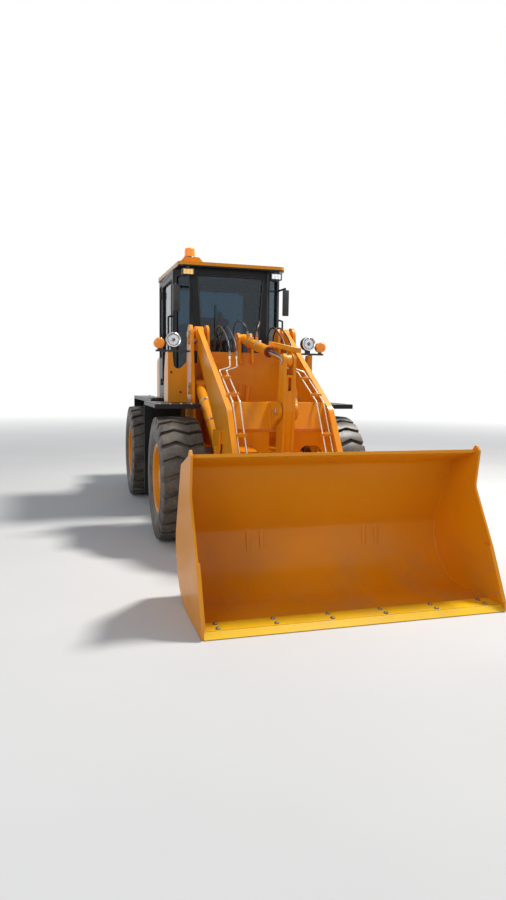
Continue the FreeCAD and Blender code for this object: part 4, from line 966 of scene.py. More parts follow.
# Pins: the node that carries each, its place (y, z), the x of its end and of the face under its lock, its
# radius, and the way its lock bar points, in degrees from forward; None where it has no lock
PINS = (
    ("front_chassis", -0.800, 1.985, 0.572, 0.560, 0.040, -80),
    ("front_chassis", -0.850, 1.470, 0.570, 0.560, 0.030, -90),
    ("front_chassis", -0.850, 1.950, 0.078, 0.078, 0.028, None),
    ("boom", -1.900, 0.850, 0.534, 0.520, 0.034, 90),
    ("boom", -2.265, 1.270, 0.098, 0.084, 0.030, 180),
    ("rocker", -2.295, 1.685, 0.062, 0.052, 0.030, None),
    ("rocker", -2.215, 0.560, 0.060, 0.052, 0.028, None),
    ("bucket", -2.790, 0.300, 0.532, 0.526, 0.035, 200),
    ("bucket", -2.850, 0.485, 0.070, 0.058, 0.032, None),
)
LOCK_REACH = 0.072


class Arms_OT_pins(bpy.types.Operator):
    """Pin ends, grease nipples and lock bars of the working arm"""

    bl_idname = "loader.pins"
    bl_label = "Pin ends and locks"

    def execute(self, context):
        for number, (node, y, z, end_x, face_x, radius, angle) in enumerate(PINS):
            ends = []
            locks = []
            for _, side in SIDES:
                ends.append(pin_end(at(side * end_x, y, z), side, radius))
                if angle is None:
                    continue
                way = Vector((0, -math.cos(math.radians(angle)), math.sin(math.radians(angle))))
                out = OUT_X * side
                lie = Matrix((way.cross(out), way, out)).transposed().to_4x4()
                foot = Matrix.Translation(at(side * face_x, y, z) + way * radius * 0.72)
                locks.append(copies("lock", pin_lock(LOCK_REACH), [foot @ lie]))
            fit(joined(f"pin_ends_{number + 1}", ends), body_of(node), "steel")
            if locks:
                fit(joined(f"pin_locks_{number + 1}", locks), body_of(node), "orange_paint")
        return {"FINISHED"}


# Cylinders: barrel node, x places, foot and head (y, z) of the axis, reach of the barrel, body and rod radius
CYLINDERS = (
    ("lift_barrels", (-0.460, 0.460), (-0.850, 1.470), (-1.900, 0.850), 1.085, 0.050, 0.028),
    ("tilt_barrel", (0.0,), (-0.850, 1.950), (-2.295, 1.685), 0.930, 0.048, 0.026),
)
CLAMP_SHARES = (0.30, 0.62)
# Steering cylinders: foot and head (x, y) on the left, height, reach of the barrel, body and rod radius
STEER_FOOT = (0.400, 0.860)
STEER_HEAD = (0.430, -0.235)
STEER_Z = 0.700
STEER_REACH = 0.730
STEER_RADII = (0.036, 0.020)


def gland(name, foot, head, reach, body_r, rod_r):
    """The screwed gland at a barrel's mouth, with its wiper ring."""
    way = (head - foot).normalized()
    inside = rod_r + 0.001
    outside = body_r + 0.001
    profile = [(-0.002, inside), (-0.002, outside), (0.010, outside), (0.014, body_r - 0.004),
               (0.014, rod_r + 0.008), (0.020, rod_r + 0.005), (0.020, inside), (-0.002, inside)]
    return turned(name, profile, foot + way * reach, way, 40)


def band(name, foot, head, reach, radius, width):
    """A clamp band round a barrel, with its tightening screw."""
    way = (head - foot).normalized()
    place = foot + way * reach
    outside = radius + 0.0025
    profile = [(0, radius), (0, outside), (width, outside), (width, radius), (0, radius)]
    hoop = turned(name, profile, place, way, 40)
    side = way.cross(OUT_X).normalized()
    if side.z < 0:
        side = -side
    screw = place + way * width / 2 + side * (radius + 0.006)
    ear_half = Vector((0.012, 0.010, 0.007))
    ear = block(name + "_ear", screw - ear_half, screw + ear_half, 0.002)
    stem = drum(name + "_screw", screw - OUT_X * 0.024, screw + OUT_X * 0.024, 0.004, 10, 0.0008)
    return joined(name, [hoop, ear, stem])


class Arms_OT_cylinders(bpy.types.Operator):
    """Glands, wiper rings and clamp bands of the cylinders"""

    bl_idname = "loader.cylinders"
    bl_label = "Cylinder fittings"

    def execute(self, context):
        for node, places, foot, head, reach, body_r, rod_r in CYLINDERS:
            glands = [gland("gland", at(x, *foot), at(x, *head), reach, body_r, rod_r) for x in places]
            # The glands are dark red: painted shade standing in for the shade on orange glands
            fit(joined(node + "_glands", glands), body_of(node), "red_paint_and_gland_shade")
            hoops = []
            for x in places:
                for share in CLAMP_SHARES:
                    hoops.append(band("clamp", at(x, *foot), at(x, *head), reach * share, body_r, 0.018))
            fit(joined(node + "_clamps", hoops), body_of(node), "zinc")
        for side_name, side in SIDES:
            node = "steer_barrel_" + side_name
            foot, head = [at(side * x, y, STEER_Z) for x, y in (STEER_FOOT, STEER_HEAD)]
            fit(gland(node + "_gland", foot, head, STEER_REACH, *STEER_RADII), body_of(node), "zinc")
        return {"FINISHED"}


# Pipe clamps on the arms: x of both ends, x of the bolt, half sizes of the cover and (y, z) of each clamp
CLAMP_X = (0.3325, 0.4345)
CLAMP_BOLT_X = 0.382
CLAMP_HALF = (0.0175, 0.0165)
PIPE_CLAMPS = ((-1.680, 1.546), (-1.960, 1.398), (-2.230, 1.065))
# Welds of the rocker's lugs and of the crossbeam's ends: x, and (y, z) along the weld
LUG_WELD_X = (0.0575, 0.0845)
LUG_WELD = ((-1.990, 1.338), (-2.030, 1.338), (-2.050, 1.300), (-2.118, 1.125))
BEAM_WELD_X = 0.4345
BEAM_WELD = ((-1.885, 1.337), (-2.030, 1.337), (-2.060, 1.280), (-2.125, 1.115))
WELD_R = 0.006


class Arms_OT_pipes(bpy.types.Operator):
    """Covers and bolts of the pipe clamps, and weld lines of the rocker's lugs and the crossbeam"""

    bl_idname = "loader.pipe_clamps"
    bl_label = "Pipe clamps and welds"

    def execute(self, context):
        along, up = CLAMP_HALF
        covers = []
        spots = []
        for _, side in SIDES:
            for y, z in PIPE_CLAMPS:
                covers.append(block("cover", at(side * CLAMP_X[0], y - along, z - up),
                                    at(side * CLAMP_X[1], y + along, z + up), 0.004))
                spots.append(at(side * CLAMP_BOLT_X, y, z + up))
        fit(joined("pipe_clamp_covers", covers), "boom", "orange_paint")
        fit(bolts("pipe_clamp_bolts", spots, UP, 0.016, 0.010), "boom", "orange_paint")
        welds = []
        for _, side in SIDES:
            for x in LUG_WELD_X:
                welds.append(rod("weld", [at(side * x, y, z) for y, z in LUG_WELD], WELD_R))
            welds.append(rod("weld", [at(side * BEAM_WELD_X, y, z) for y, z in BEAM_WELD], WELD_R))
        fit(joined("arm_welds", welds), "boom", "orange_paint")
        return {"FINISHED"}


# Centres of the lamps on the left; the work lamps are at one x and z and at two places along the roof
HEAD_LAMP = (0.726, -0.850, 1.924)
TURN_LAMP = (0.868, -0.850, 1.890)
WORK_LAMP = (0.496, 2.6805)
WORK_LAMP_Y = (-0.400, 1.010)
BEACON = (-0.440, -0.180, 2.852)


# Parts of a head lamp: name, outline as (forward, radius), steps round it, finish and slot
HEAD_LAMP_PARTS = (
    ("shell", ((-0.074, 0.0), (-0.074, 0.030), (-0.066, 0.050), (-0.040, 0.070), (-0.004, 0.0755),
               (-0.004, 0.0725)), 40, "plastic", "plastic"),
    ("rim", ((-0.004, 0.0735), (0.010, 0.0745), (0.014, 0.070), (0.010, 0.062), (0.001, 0.060),
             (-0.004, 0.0735)), 48, "chrome", "chrome"),
    ("bowl", ((0.0008, 0.0), (0.0008, 0.014), (0.0045, 0.015), (0.0045, 0.018), (0.0012, 0.020),
              (0.0016, 0.060), (0.0045, 0.0605)), 40, "mirror", "chrome"),
    ("glass", ((0.0165, 0.0), (0.0155, 0.018), (0.0125, 0.040), (0.0068, 0.0595), (0.009, 0.0605),
               (0.015, 0.040), (0.018, 0.018), (0.019, 0.0)), 40, "clear", "lamp"),
)
BULB_SHIELD = ((0.0005, 0.0), (0.0005, 0.006), (0.008, 0.007), (0.008, 0.017), (0.011, 0.016), (0.012, 0.0))
BOWL_HOOP = ((0.0046, 0.0515), (0.0046, 0.0575), (0.0066, 0.0570), (0.0066, 0.0520), (0.0046, 0.0515))
TURN_LAMP_COVER = ((-0.022, 0.0), (-0.022, 0.0535), (0.000, 0.0535), (0.003, 0.0500), (0.006, 0.0505),
                   (0.010, 0.044), (0.013, 0.030), (0.014, 0.0))
TURN_LAMP_SCREWS = ((0.0, -0.011, 0.036), (0.0, -0.011, -0.036))


class Lamps_OT_front(bpy.types.Operator):
    """Head lamps and turn lamps: rims, bowls, glass and their screws"""

    bl_idname = "loader.front_lamps"
    bl_label = "Front lamps"

    def execute(self, context):
        for side_name, side in SIDES:
            head, turn = [at(side * x, y, z) for x, y, z in (HEAD_LAMP, TURN_LAMP)]
            for part, outline, steps, finish, slot in HEAD_LAMP_PARTS:
                piece = turned(f"head_lamp_{part}_{side_name}", outline, head, FORWARD, steps)
                fit(piece, "front_frame", finish)
            shield = turned("shield", BULB_SHIELD, head, FORWARD, 28)
            hoop = turned("hoop", BOWL_HOOP, head, FORWARD, 40)
            fit(joined(f"head_lamp_shield_{side_name}", [shield, hoop]), "front_frame", "plastic")
            cover = turned(f"turn_lamp_{side_name}", TURN_LAMP_COVER, turn, FORWARD, 40)
            fit(cover, "front_frame", "amber")
            screws = bolts(f"lamp_screws_{side_name}", [turn + Vector(spot) for spot in TURN_LAMP_SCREWS],
                           FORWARD, 0.007, 0.004)
            fit(screws, "front_frame", "zinc")
        return {"FINISHED"}


# Work lamp: half sizes of its bezel and of its lens, the bezel's width, and places of its bulbs
BEZEL_HALF = (0.064, 0.0355)
BEZEL_WIDTH = 0.009
LENS_HALF = (0.056, 0.0275)
BULB_X = (-0.036, 0.0, 0.036)
BULB_Z = (-0.0135, 0.0135)
BULB = ((0.000, 0.0), (0.000, 0.0125), (0.003, 0.0115), (0.005, 0.008), (0.006, 0.0))


def work_lamp():
    """A rectangular work lamp facing forward at the origin: its bezel, and its lens with six bulbs."""
    wide, high = BEZEL_HALF
    bars = (((-wide, high - BEZEL_WIDTH), (wide, high)), ((-wide, -high), (wide, BEZEL_WIDTH - high)),
            ((-wide, -high), (BEZEL_WIDTH - wide, high)), ((wide - BEZEL_WIDTH, -high), (wide, high)))
    bezel = [block("bezel", (x0, -0.010, z0), (x1, 0.002, z1), 0.002) for (x0, z0), (x1, z1) in bars]
    lens_x, lens_z = LENS_HALF
    pane = block("lens", (-lens_x, -0.004, -lens_z), (lens_x, 0.001, lens_z), 0.001)
    bulbs = copies("bulbs", turned("bulb", BULB, ORIGIN, UP, 16),
                   [facing((x, -0.003, z), FORWARD) for x in BULB_X for z in BULB_Z])
    return joined("work_lamp_bezel", bezel), joined("work_lamp_lens", [pane, bulbs])


BEACON_BASE = ((0.0, 0.0), (0.0, 0.0695), (0.010, 0.0695), (0.016, 0.064), (0.022, 0.062), (0.022, 0.0))
BEACON_FOOT = ((0.018, 0.0), (0.018, 0.0575), (0.026, 0.0585))
BEACON_RIBS = 5
BEACON_TOP = ((0.104, 0.0535), (0.112, 0.048), (0.1165, 0.036), (0.1175, 0.0))


class Lamps_OT_roof(bpy.types.Operator):
    """Work lamps on the roof and the turning beacon"""

    bl_idname = "loader.roof_lamps"
    bl_label = "Roof lamps"

    def work_lamps(self):
        """Four work lamps; the one at the front right is lit in a warmer colour."""
        bezel, glass = work_lamp()
        x, z = WORK_LAMP
        for place, y in zip(AXLES, WORK_LAMP_Y):
            turn = Matrix.Rotation(math.pi if place == "rear" else 0, 4, "Z")
            for side_name, side in SIDES:
                tint = "warm_lens" if (place, side_name) == ("front", "right") else "white_lens"
                for pattern, part, finish, slot in ((bezel, "bezel", "plastic", "plastic"),
                                                    (glass, "lens", tint, "lamp")):
                    piece = twin(pattern, Matrix.Translation(at(side * x, y, z)) @ turn)
                    piece.name = f"work_lamp_{part}_{place}_{side_name}"
                    fit(piece, "rear_frame", finish)
        bpy.data.objects.remove(bezel)
        bpy.data.objects.remove(glass)

    def execute(self, context):
        self.work_lamps()
        foot = at(*BEACON)
        fit(turned("beacon_base", BEACON_BASE, foot, UP, 48), "rear_frame", "plastic")
        profile = list(BEACON_FOOT)
        for row in range(BEACON_RIBS):
            along = 0.030 + row * 0.014
            taper = row * 0.0006
            profile += [(along, 0.0565 - taper), (along + 0.007, 0.0580 - taper)]
        profile += BEACON_TOP
        dome = turned("beacon_lens", profile, foot, UP, 48)
        fit(dome, "rear_frame", "amber")
        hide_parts("beacon")
        return {"FINISHED"}


# Back of the counterweight, x and z ranges of a tail lamp, its lenses from the inside out with their widths,
# and their slots
TAIL_Y = 2.604
TAIL_LAMP = ((0.480, 0.600), (0.860, 0.950))
TAIL_LENSES = (("white_lens", 0.026), ("red_lens", 0.050), ("amber", 0.030))
TAIL_SLOTS = {"red_lens": "red_lens", "amber": "amber", "white_lens": "lamp"}
# Ranges and places across and up: the blank plate, its bolts, a reflector and the counterweight's bolts
BLANK_PLATE = ((-0.26, 0.26), (0.765, 0.877))
PLATE_BOLT_X = (-0.235, 0.235)
REFLECTOR = (0.640, 0.905)
REFLECTOR_SHAPE = ((0, 0.0), (0, 0.030), (0.006, 0.030), (0.008, 0.026), (0.008, 0.0))
MASS_BOLT_X = 0.330
MASS_BOLT_Z = (0.60, 0.70)


class Lamps_OT_tail(bpy.types.Operator):
    """Tail lamps, rear reflectors and the blank plate"""

    bl_idname = "loader.tail_lamps"
    bl_label = "Tail lamps"

    def execute(self, context):
        (x0, x1), (z0, z1) = TAIL_LAMP
        cases = []
        lenses = {tint: [] for tint in TAIL_SLOTS}
        for _, side in SIDES:
            cases.append(block("case", at(side * x0, TAIL_Y - 0.001, z0), at(side * x1, TAIL_Y + 0.014, z1),
                               0.004))
            edge = x0 + 0.005
            for tint, wide in TAIL_LENSES:
                low = at(side * edge, TAIL_Y + 0.012, z0 + 0.006)
                high = at(side * (edge + wide), TAIL_Y + 0.0255, z1 - 0.006)
                lenses[tint].append(block("lens", low, high, 0.004))
                edge += wide + 0.002
        case = fit(joined("tail_lamp_cases", cases), "rear_frame", "plastic")
        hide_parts("tail_lamps")
        for tint, slot in TAIL_SLOTS.items():
            fit(joined("tail_" + tint, lenses[tint]), "rear_frame", tint)
        (x0, x1), (z0, z1) = BLANK_PLATE
        sign = block("blank_plate", at(x0, TAIL_Y - 0.001, z0), at(x1, TAIL_Y + 0.003, z1), 0.001)
        fit(sign, "rear_frame", "plate")
        corners = [at(x, TAIL_Y + 0.003, (z0 + z1) / 2) for x in PLATE_BOLT_X]
        fit(bolts("plate_bolts", corners, -FORWARD, 0.012, 0.006), "rear_frame", "zinc")
        # The rear reflectors take the red lens finish, whose weak glow is a painted glow here: reflectors are no
        # lamps
        x, z = REFLECTOR
        spots = [facing(at(side * x, TAIL_Y - 0.002, z), -FORWARD) for _, side in SIDES]
        shell = turned("reflector", REFLECTOR_SHAPE, ORIGIN, UP, 28)
        fit(copies("rear_reflectors", shell, spots), "rear_frame", "red_lens")
        return {"FINISHED"}


# Cab: half width, (x, y) of the windscreen's corner and of the door pillar's, y of the rear glass, (x, z) of the
# front and the rear pane's corners, and y and z ranges of the panes in the sides
CAB_HALF = 0.620
CAB_NOSE = (0.420, -0.300)
CAB_CORNER = (0.620, -0.130)
REAR_GLASS_Y = 0.950
FRONT_PANE = ((-0.300, 1.600), (0.300, 1.600), (0.375, 2.670), (-0.375, 2.670))
REAR_PANE = ((-0.480, 1.950), (0.480, 1.950), (0.480, 2.670), (-0.480, 2.670))
CORNER_PANE_Z = (1.600, 2.670)
CORNER_PANE_MARGIN = 0.045
QUARTER_PANE = ((0.750, 0.890), (1.800, 2.670))
DOOR_PANE = ((-0.040, 0.630), (1.500, 2.640))
SEAL_R = 0.008
WIDE_SEAL_R = 0.009


def flat_seal(name, corners, body, radius=SEAL_R):
    """A rubber seal round a pane."""
    seal = strip(name, rounded([at(*corner) for corner in corners], 0.022), radius)
    return fit(seal, body, "trim")


def side_pane(x, y_range, z_range):
    """Corners of a pane in a side of the cab."""
    (near, far), (low, high) = y_range, z_range
    return [(x, near, low), (x, far, low), (x, far, high), (x, near, high)]


class Cab_OT_seals(bpy.types.Operator):
    """Rubber seals round the windscreen, the corner panes, the doors' glass and the rear glass"""

    bl_idname = "loader.cab_seals"
    bl_label = "Window seals"

    def execute(self, context):
        flat_seal("seal_windscreen", [(x, CAB_NOSE[1], z) for x, z in FRONT_PANE], "rear_frame", WIDE_SEAL_R)
        flat_seal("seal_rear", [(x, REAR_GLASS_Y, z) for x, z in REAR_PANE], "rear_frame", WIDE_SEAL_R)
        nose = Vector((*CAB_NOSE, 0))
        corner = Vector((*CAB_CORNER, 0))
        inset = (corner - nose).normalized() * CORNER_PANE_MARGIN
        near = nose + inset
        far = corner - inset
        low, high = CORNER_PANE_Z
        for side_name, side in SIDES:
            flat_seal(f"seal_corner_{side_name}",
                      [(side * near.x, near.y, low), (side * far.x, far.y, low), (side * far.x, far.y, high),
                       (side * near.x, near.y, high)], "rear_frame")
            x = side * CAB_HALF
            flat_seal(f"seal_quarter_{side_name}", side_pane(x, *QUARTER_PANE), "rear_frame")
            flat_seal(f"seal_door_{side_name}", side_pane(x, *DOOR_PANE), body_of(f"door_{side_name}"))
        return {"FINISHED"}


# The wiper's pivot, its tip from there and half of its blade; the bends of a grab rail; a door lock's x range
# and its y and z; a mirror's x and z ranges and the y of its face
WIPER_PIVOT = (0.0, -0.304, 1.555)
WIPER_TIP = Vector((-0.17, -0.010, 0.56))
WIPER_HALF = 0.24
SPINDLE = ((-0.012, 0.0), (-0.012, 0.020), (0.010, 0.018), (0.016, 0.012), (0.018, 0.0))
GRAB_RAIL = ((0.618, -0.118, 1.500), (0.668, -0.122, 1.500), (0.668, -0.122, 1.540), (0.668, -0.122, 1.900),
             (0.668, -0.122, 2.190), (0.668, -0.122, 2.230), (0.618, -0.118, 2.230))
DOOR_LOCK_X = (0.618, 0.626)
DOOR_LOCK = (-0.072, 1.665)
MIRROR = ((0.583, 0.653), (2.260, 2.540))
MIRROR_Y = -0.360


class Cab_OT_fittings(bpy.types.Operator):
    """Wiper, grab rails, door locks and mirror faces"""

    bl_idname = "loader.cab_fittings"
    bl_label = "Cab fittings"

    def mirror(self, side_name, side):
        """A mirror's rim and its face."""
        (x0, x1), (z0, z1) = MIRROR
        case = block(f"mirror_case_{side_name}", at(side * (x0 - 0.002), MIRROR_Y - 0.026, z0 - 0.004),
                     at(side * (x1 + 0.002), MIRROR_Y - 0.006, z1 + 0.004), 0.007)
        fit(case, "rear_frame", "plastic")
        face = block(f"mirror_face_{side_name}", at(side * (x0 + 0.005), MIRROR_Y - 0.008, z0 + 0.005),
                     at(side * (x1 - 0.005), MIRROR_Y - 0.0045, z1 - 0.005), 0.001)
        fit(face, "rear_frame", "mirror")

    def execute(self, context):
        pivot = at(*WIPER_PIVOT)
        tip = pivot + WIPER_TIP
        wiper = [turned("spindle", SPINDLE, pivot, FORWARD, 20),
                 drum("arm", pivot + FORWARD * 0.013, tip, 0.0055, 8, 0.001),
                 block("rubber", tip + Vector((-0.008, 0.0, -WIPER_HALF)),
                       tip + Vector((0.008, 0.012, WIPER_HALF)), 0.002)]
        fit(joined("front_wiper", wiper), "rear_frame", "plastic")
        y, z = DOOR_LOCK
        for side_name, side in SIDES:
            rail = rod(f"grab_rail_{side_name}", [at(side * x, *rest) for x, *rest in GRAB_RAIL], 0.011)
            fit(rail, "rear_frame", "black_paint")
            inner, outer = [at(side * x, y, z) for x in DOOR_LOCK_X]
            lock = drum(f"door_lock_{side_name}", inner, outer, 0.013, 20, 0.002)
            fit(lock, body_of(f"door_{side_name}"), "chrome")
            self.mirror(side_name, side)
        return {"FINISHED"}


def cushion(name, low, high, crown, way):
    """A crowned pad: a block cut up, its middle raised, its rim pulled in, and smoothed by subdivision."""
    start_clean()
    low = Vector(low)
    high = Vector(high)
    centre = (low + high) / 2
    half = (high - low) / 2
    bpy.ops.mesh.primitive_cube_add(size=1, location=centre)
    bpy.context.object.scale = high - low
    piece = settle(name)
    bpy.ops.object.mode_set(mode="EDIT")
    bpy.ops.mesh.select_all(action="SELECT")
    bpy.ops.mesh.subdivide(number_cuts=6)
    bpy.ops.object.mode_set(mode="OBJECT")
    flat = [axis for axis in range(3) if abs(way[axis]) < 0.5]
    for vertex in piece.data.vertices:
        spot = vertex.co - centre
        across = [min(abs(spot[axis]) / half[axis], 1.0) for axis in flat]
        rise = (1 - across[0] ** 4) * (1 - across[1] ** 4)
        if spot.dot(way) > 0:
            vertex.co += way * crown * rise
        pull = 1 - 0.05 * (1 - rise)
        for axis in flat:
            vertex.co[axis] = centre[axis] + spot[axis] * pull
    smooth = piece.modifiers.new("smooth", "SUBSURF")
    smooth.levels = 2
    smooth.render_levels = 2
    pick(piece)
    bpy.ops.object.modifier_apply(modifier=smooth.name)
    bpy.ops.object.shade_smooth()
    return piece


# Seat: opposite corners of its pads and of the hard parts under them, with the softness of their edges
SEAT_PAD = ((-0.228, 0.262, 1.650), (0.228, 0.660, 1.748))
SEAT_BACK = ((-0.218, 0.650, 1.765), (0.218, 0.738, 2.320))
SEAT_CROWN = 0.016
SEAT_PIPING = ((-0.212, 1.785), (0.212, 1.785), (0.212, 2.300), (-0.212, 2.300))
SEAT_HARD_PARTS = (
    ("seat_shell", (-0.205, 0.730, 1.775), (0.205, 0.757, 2.310), 0.012),
    ("seat_base", (-0.148, 0.335, 1.345), (0.148, 0.645, 1.600), 0.006),
    ("seat_slide", (-0.200, 0.290, 1.600), (0.200, 0.690, 1.652), 0.006),
)


class Cab_OT_seat(bpy.types.Operator):
    """The seat: two crowned pads with piping, the back shell and the base"""

    bl_idname = "loader.seat"
    bl_label = "Seat"

    def execute(self, context):
        for name, (low, high), way in (("seat_pad", SEAT_PAD, UP), ("seat_back", SEAT_BACK, FORWARD)):
            pad = fit(cushion(name, at(*low), at(*high), SEAT_CROWN, way), "rear_frame", "seat")
        front = SEAT_BACK[0][1]
        piping = strip("seat_piping", rounded([at(x, front, z) for x, z in SEAT_PIPING], 0.05), 0.004)
        fit(piping, "rear_frame", "trim")
        hard = [block(name, at(*low), at(*high), soft) for name, low, high, soft in SEAT_HARD_PARTS]
        hard = fit(joined("seat_frame", hard), "rear_frame", "plastic")
        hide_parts("seat")
        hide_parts("seat")
        return {"FINISHED"}


# Hood: half width, (y, z) of the side door's corners, latches and hinges, the joint over its top, lifting
# eyes, radiator, and the tops of the exhaust stack and the air cleaner
HOOD_HALF = 0.440
SIDE_DOOR = ((1.225, 0.985), (1.225, 1.775), (2.205, 1.775), (2.205, 0.985))
LATCH_Y = (1.42, 2.00)
LATCH_Z = 1.012
HINGE_Z = 1.779
HOOD_JOINT_Y = 1.62
HOOD_JOINT = ((0.4405, 1.780), (0.4405, 1.800), (0.4405, 1.9005), (0.36, 1.9005))
EYE_X = 0.30
EYE_Y = (1.10, 2.44)
EYE_LOOP = ((-0.035, 1.899), (-0.035, 1.945), (0, 1.965), (0.035, 1.945), (0.035, 1.899))
RADIATOR = ((-0.306, 2.440, 1.112), (0.306, 2.480, 1.748))
FINS = 46
FIRST_FIN = (-0.29, 2.484, 1.43)
FIN_PITCH = 0.0129
STACK = (0.230, 1.250, 2.380)
CLEANER = (-0.230, 1.250, 2.230)
# Turned shapes round the stack and the cleaner, as (distance over the top, radius)
EXHAUST_TIP = ((-0.060, 0.046), (-0.056, 0.0475), (0.060, 0.0475), (0.062, 0.046), (0.060, 0.0425),
               (0.010, 0.0425), (0.010, 0.0))
STACK_CLAMP = ((-0.215, 0.0455), (-0.215, 0.0495), (-0.198, 0.0495), (-0.198, 0.0455), (-0.215, 0.0455))
STACK_CONE = ((-0.231, 0.0805), (-0.226, 0.0805), (-0.196, 0.047))
CLEANER_BOWL = ((-0.150, 0.0965), (-0.140, 0.0985), (-0.020, 0.0985), (-0.010, 0.102), (0.004, 0.102),
                (0.012, 0.094), (0.034, 0.070), (0.046, 0.036), (0.050, 0.0))
CLEANER_BAND = ((-0.100, 0.099), (-0.100, 0.1015), (-0.080, 0.1015), (-0.080, 0.099), (-0.100, 0.099))


class Rear_OT_hood(bpy.types.Operator):
    """Hood joints, latches, hinges, lifting eyes, radiator core, exhaust tip and air cleaner bowl"""

    bl_idname = "loader.hood"
    bl_label = "Hood and stacks"

    def side_doors(self):
        """The joint, the latches and the hinges of the door in each side of the hood."""
        seams = []
        latches = []
        hinges = []
        for _, side in SIDES:
            x = side * HOOD_HALF
            seams.append(strip("seam", rounded([at(x, y, z) for y, z in SIDE_DOOR], 0.03), 0.0035))
            for y in LATCH_Y:
                latches.append(block("latch", at(x, y, LATCH_Z),
                                     at(x + side * 0.014, y + 0.070, LATCH_Z + 0.040), 0.005))
                latches.append(block("pull", at(x + side * 0.012, y + 0.010, LATCH_Z + 0.010),
                                     at(x + side * 0.026, y + 0.060, LATCH_Z + 0.022), 0.004))
                hinge_x = x + side * 0.004
                hinges.append(drum("hinge", at(hinge_x, y - 0.03, HINGE_Z), at(hinge_x, y + 0.10, HINGE_Z),
                                   0.008, 16, 0.001))
        fit(joined("hood_seams", seams), "rear_frame", "trim")
        fit(joined("hood_latches", latches), "rear_frame", "plastic")
        fit(joined("hood_hinges", hinges), "rear_frame", "zinc")

    def stacks(self):
        """The end of the exhaust with its clamp and cone, and the bowl and band of the air cleaner."""
        top = at(*STACK)
        parts = [turned(name, outline, top, UP, 40) for name, outline in
                 (("tip", EXHAUST_TIP), ("clamp", STACK_CLAMP), ("cone", STACK_CONE))]
        fit(joined("exhaust", parts), "rear_frame", "burnt")
        top = at(*CLEANER)
        fit(turned("cleaner_bowl", CLEANER_BOWL, top, UP, 40), "rear_frame", "plastic")
        fit(turned("cleaner_band", CLEANER_BAND, top, UP, 40), "rear_frame", "zinc")

    def execute(self, context):
        self.side_doors()
        joint = [(-x, z) for x, z in HOOD_JOINT] + [(x, z) for x, z in reversed(HOOD_JOINT)]
        across = rod("hood_joint", [at(x, HOOD_JOINT_Y, z) for x, z in joint], 0.003)
        fit(across, "rear_frame", "trim")
        low, high = RADIATOR
        core = block("radiator_core", at(*low), at(*high), 0.004)
        first = at(*FIRST_FIN)
        fins = copies("fins", block("fin", (-0.0015, -0.004, -0.31), (0.0015, 0.0, 0.31), 0.0004),
                      [Matrix.Translation(first + OUT_X * FIN_PITCH * number) for number in range(FINS)])
        fit(joined("radiator", [core, fins]), "rear_frame", "burnt")
        self.stacks()
        eyes = []
        for y in EYE_Y:
            for _, side in SIDES:
                eyes.append(rod("eye", [at(side * EYE_X, y + along, z) for along, z in EYE_LOOP], 0.007))
        fit(joined("lifting_eyes", eyes), "rear_frame", "black_paint")
        return {"FINISHED"}


# Steps: heights of the treads, the grip bars on them, and the first bar on the deck; then the tank's straps,
# filler and gauge, the rear fenders' bolts, and the tow pin with its handle
TREAD_Z = (0.445, 0.785)
GRIP_X = (0.762, 0.782, 0.802, 0.822)
GRIP_HALF = 0.004
GRIP_Y = (0.196, 0.574)
DECK_BARS = 4
DECK_BAR = (0.640, 0.130, 1.301)
DECK_BAR_PITCH = 0.130
STRAP_X = (0.7585, 0.7635)
STRAP_Y = (0.215, 0.470)
STRAP_Z = (0.580, 0.985)
FILLER = (0.700, 0.215, 1.040)
FILLER_NECK = ((-0.004, 0.0), (-0.004, 0.042), (0.024, 0.042), (0.026, 0.052), (0.050, 0.052), (0.055, 0.046),
               (0.055, 0.0))
GAUGE = ((-0.758, 0.380, 0.640), (-0.766, 0.402, 0.860))
FENDER_BOLT_Y = (0.72, 1.10, 1.50, 1.90)
TOW_PIN = (0, 2.570, 0.990)
TOW_PIN_SHAPE = ((-0.42, 0.0), (-0.42, 0.016), (-0.40, 0.020), (0.000, 0.020), (0.000, 0.034), (0.010, 0.034),
                 (0.012, 0.030), (0.012, 0.0))
TOW_HANDLE = ((-0.035, 0.992), (-0.035, 1.030), (0.0, 1.052), (0.035, 1.030), (0.035, 0.992))


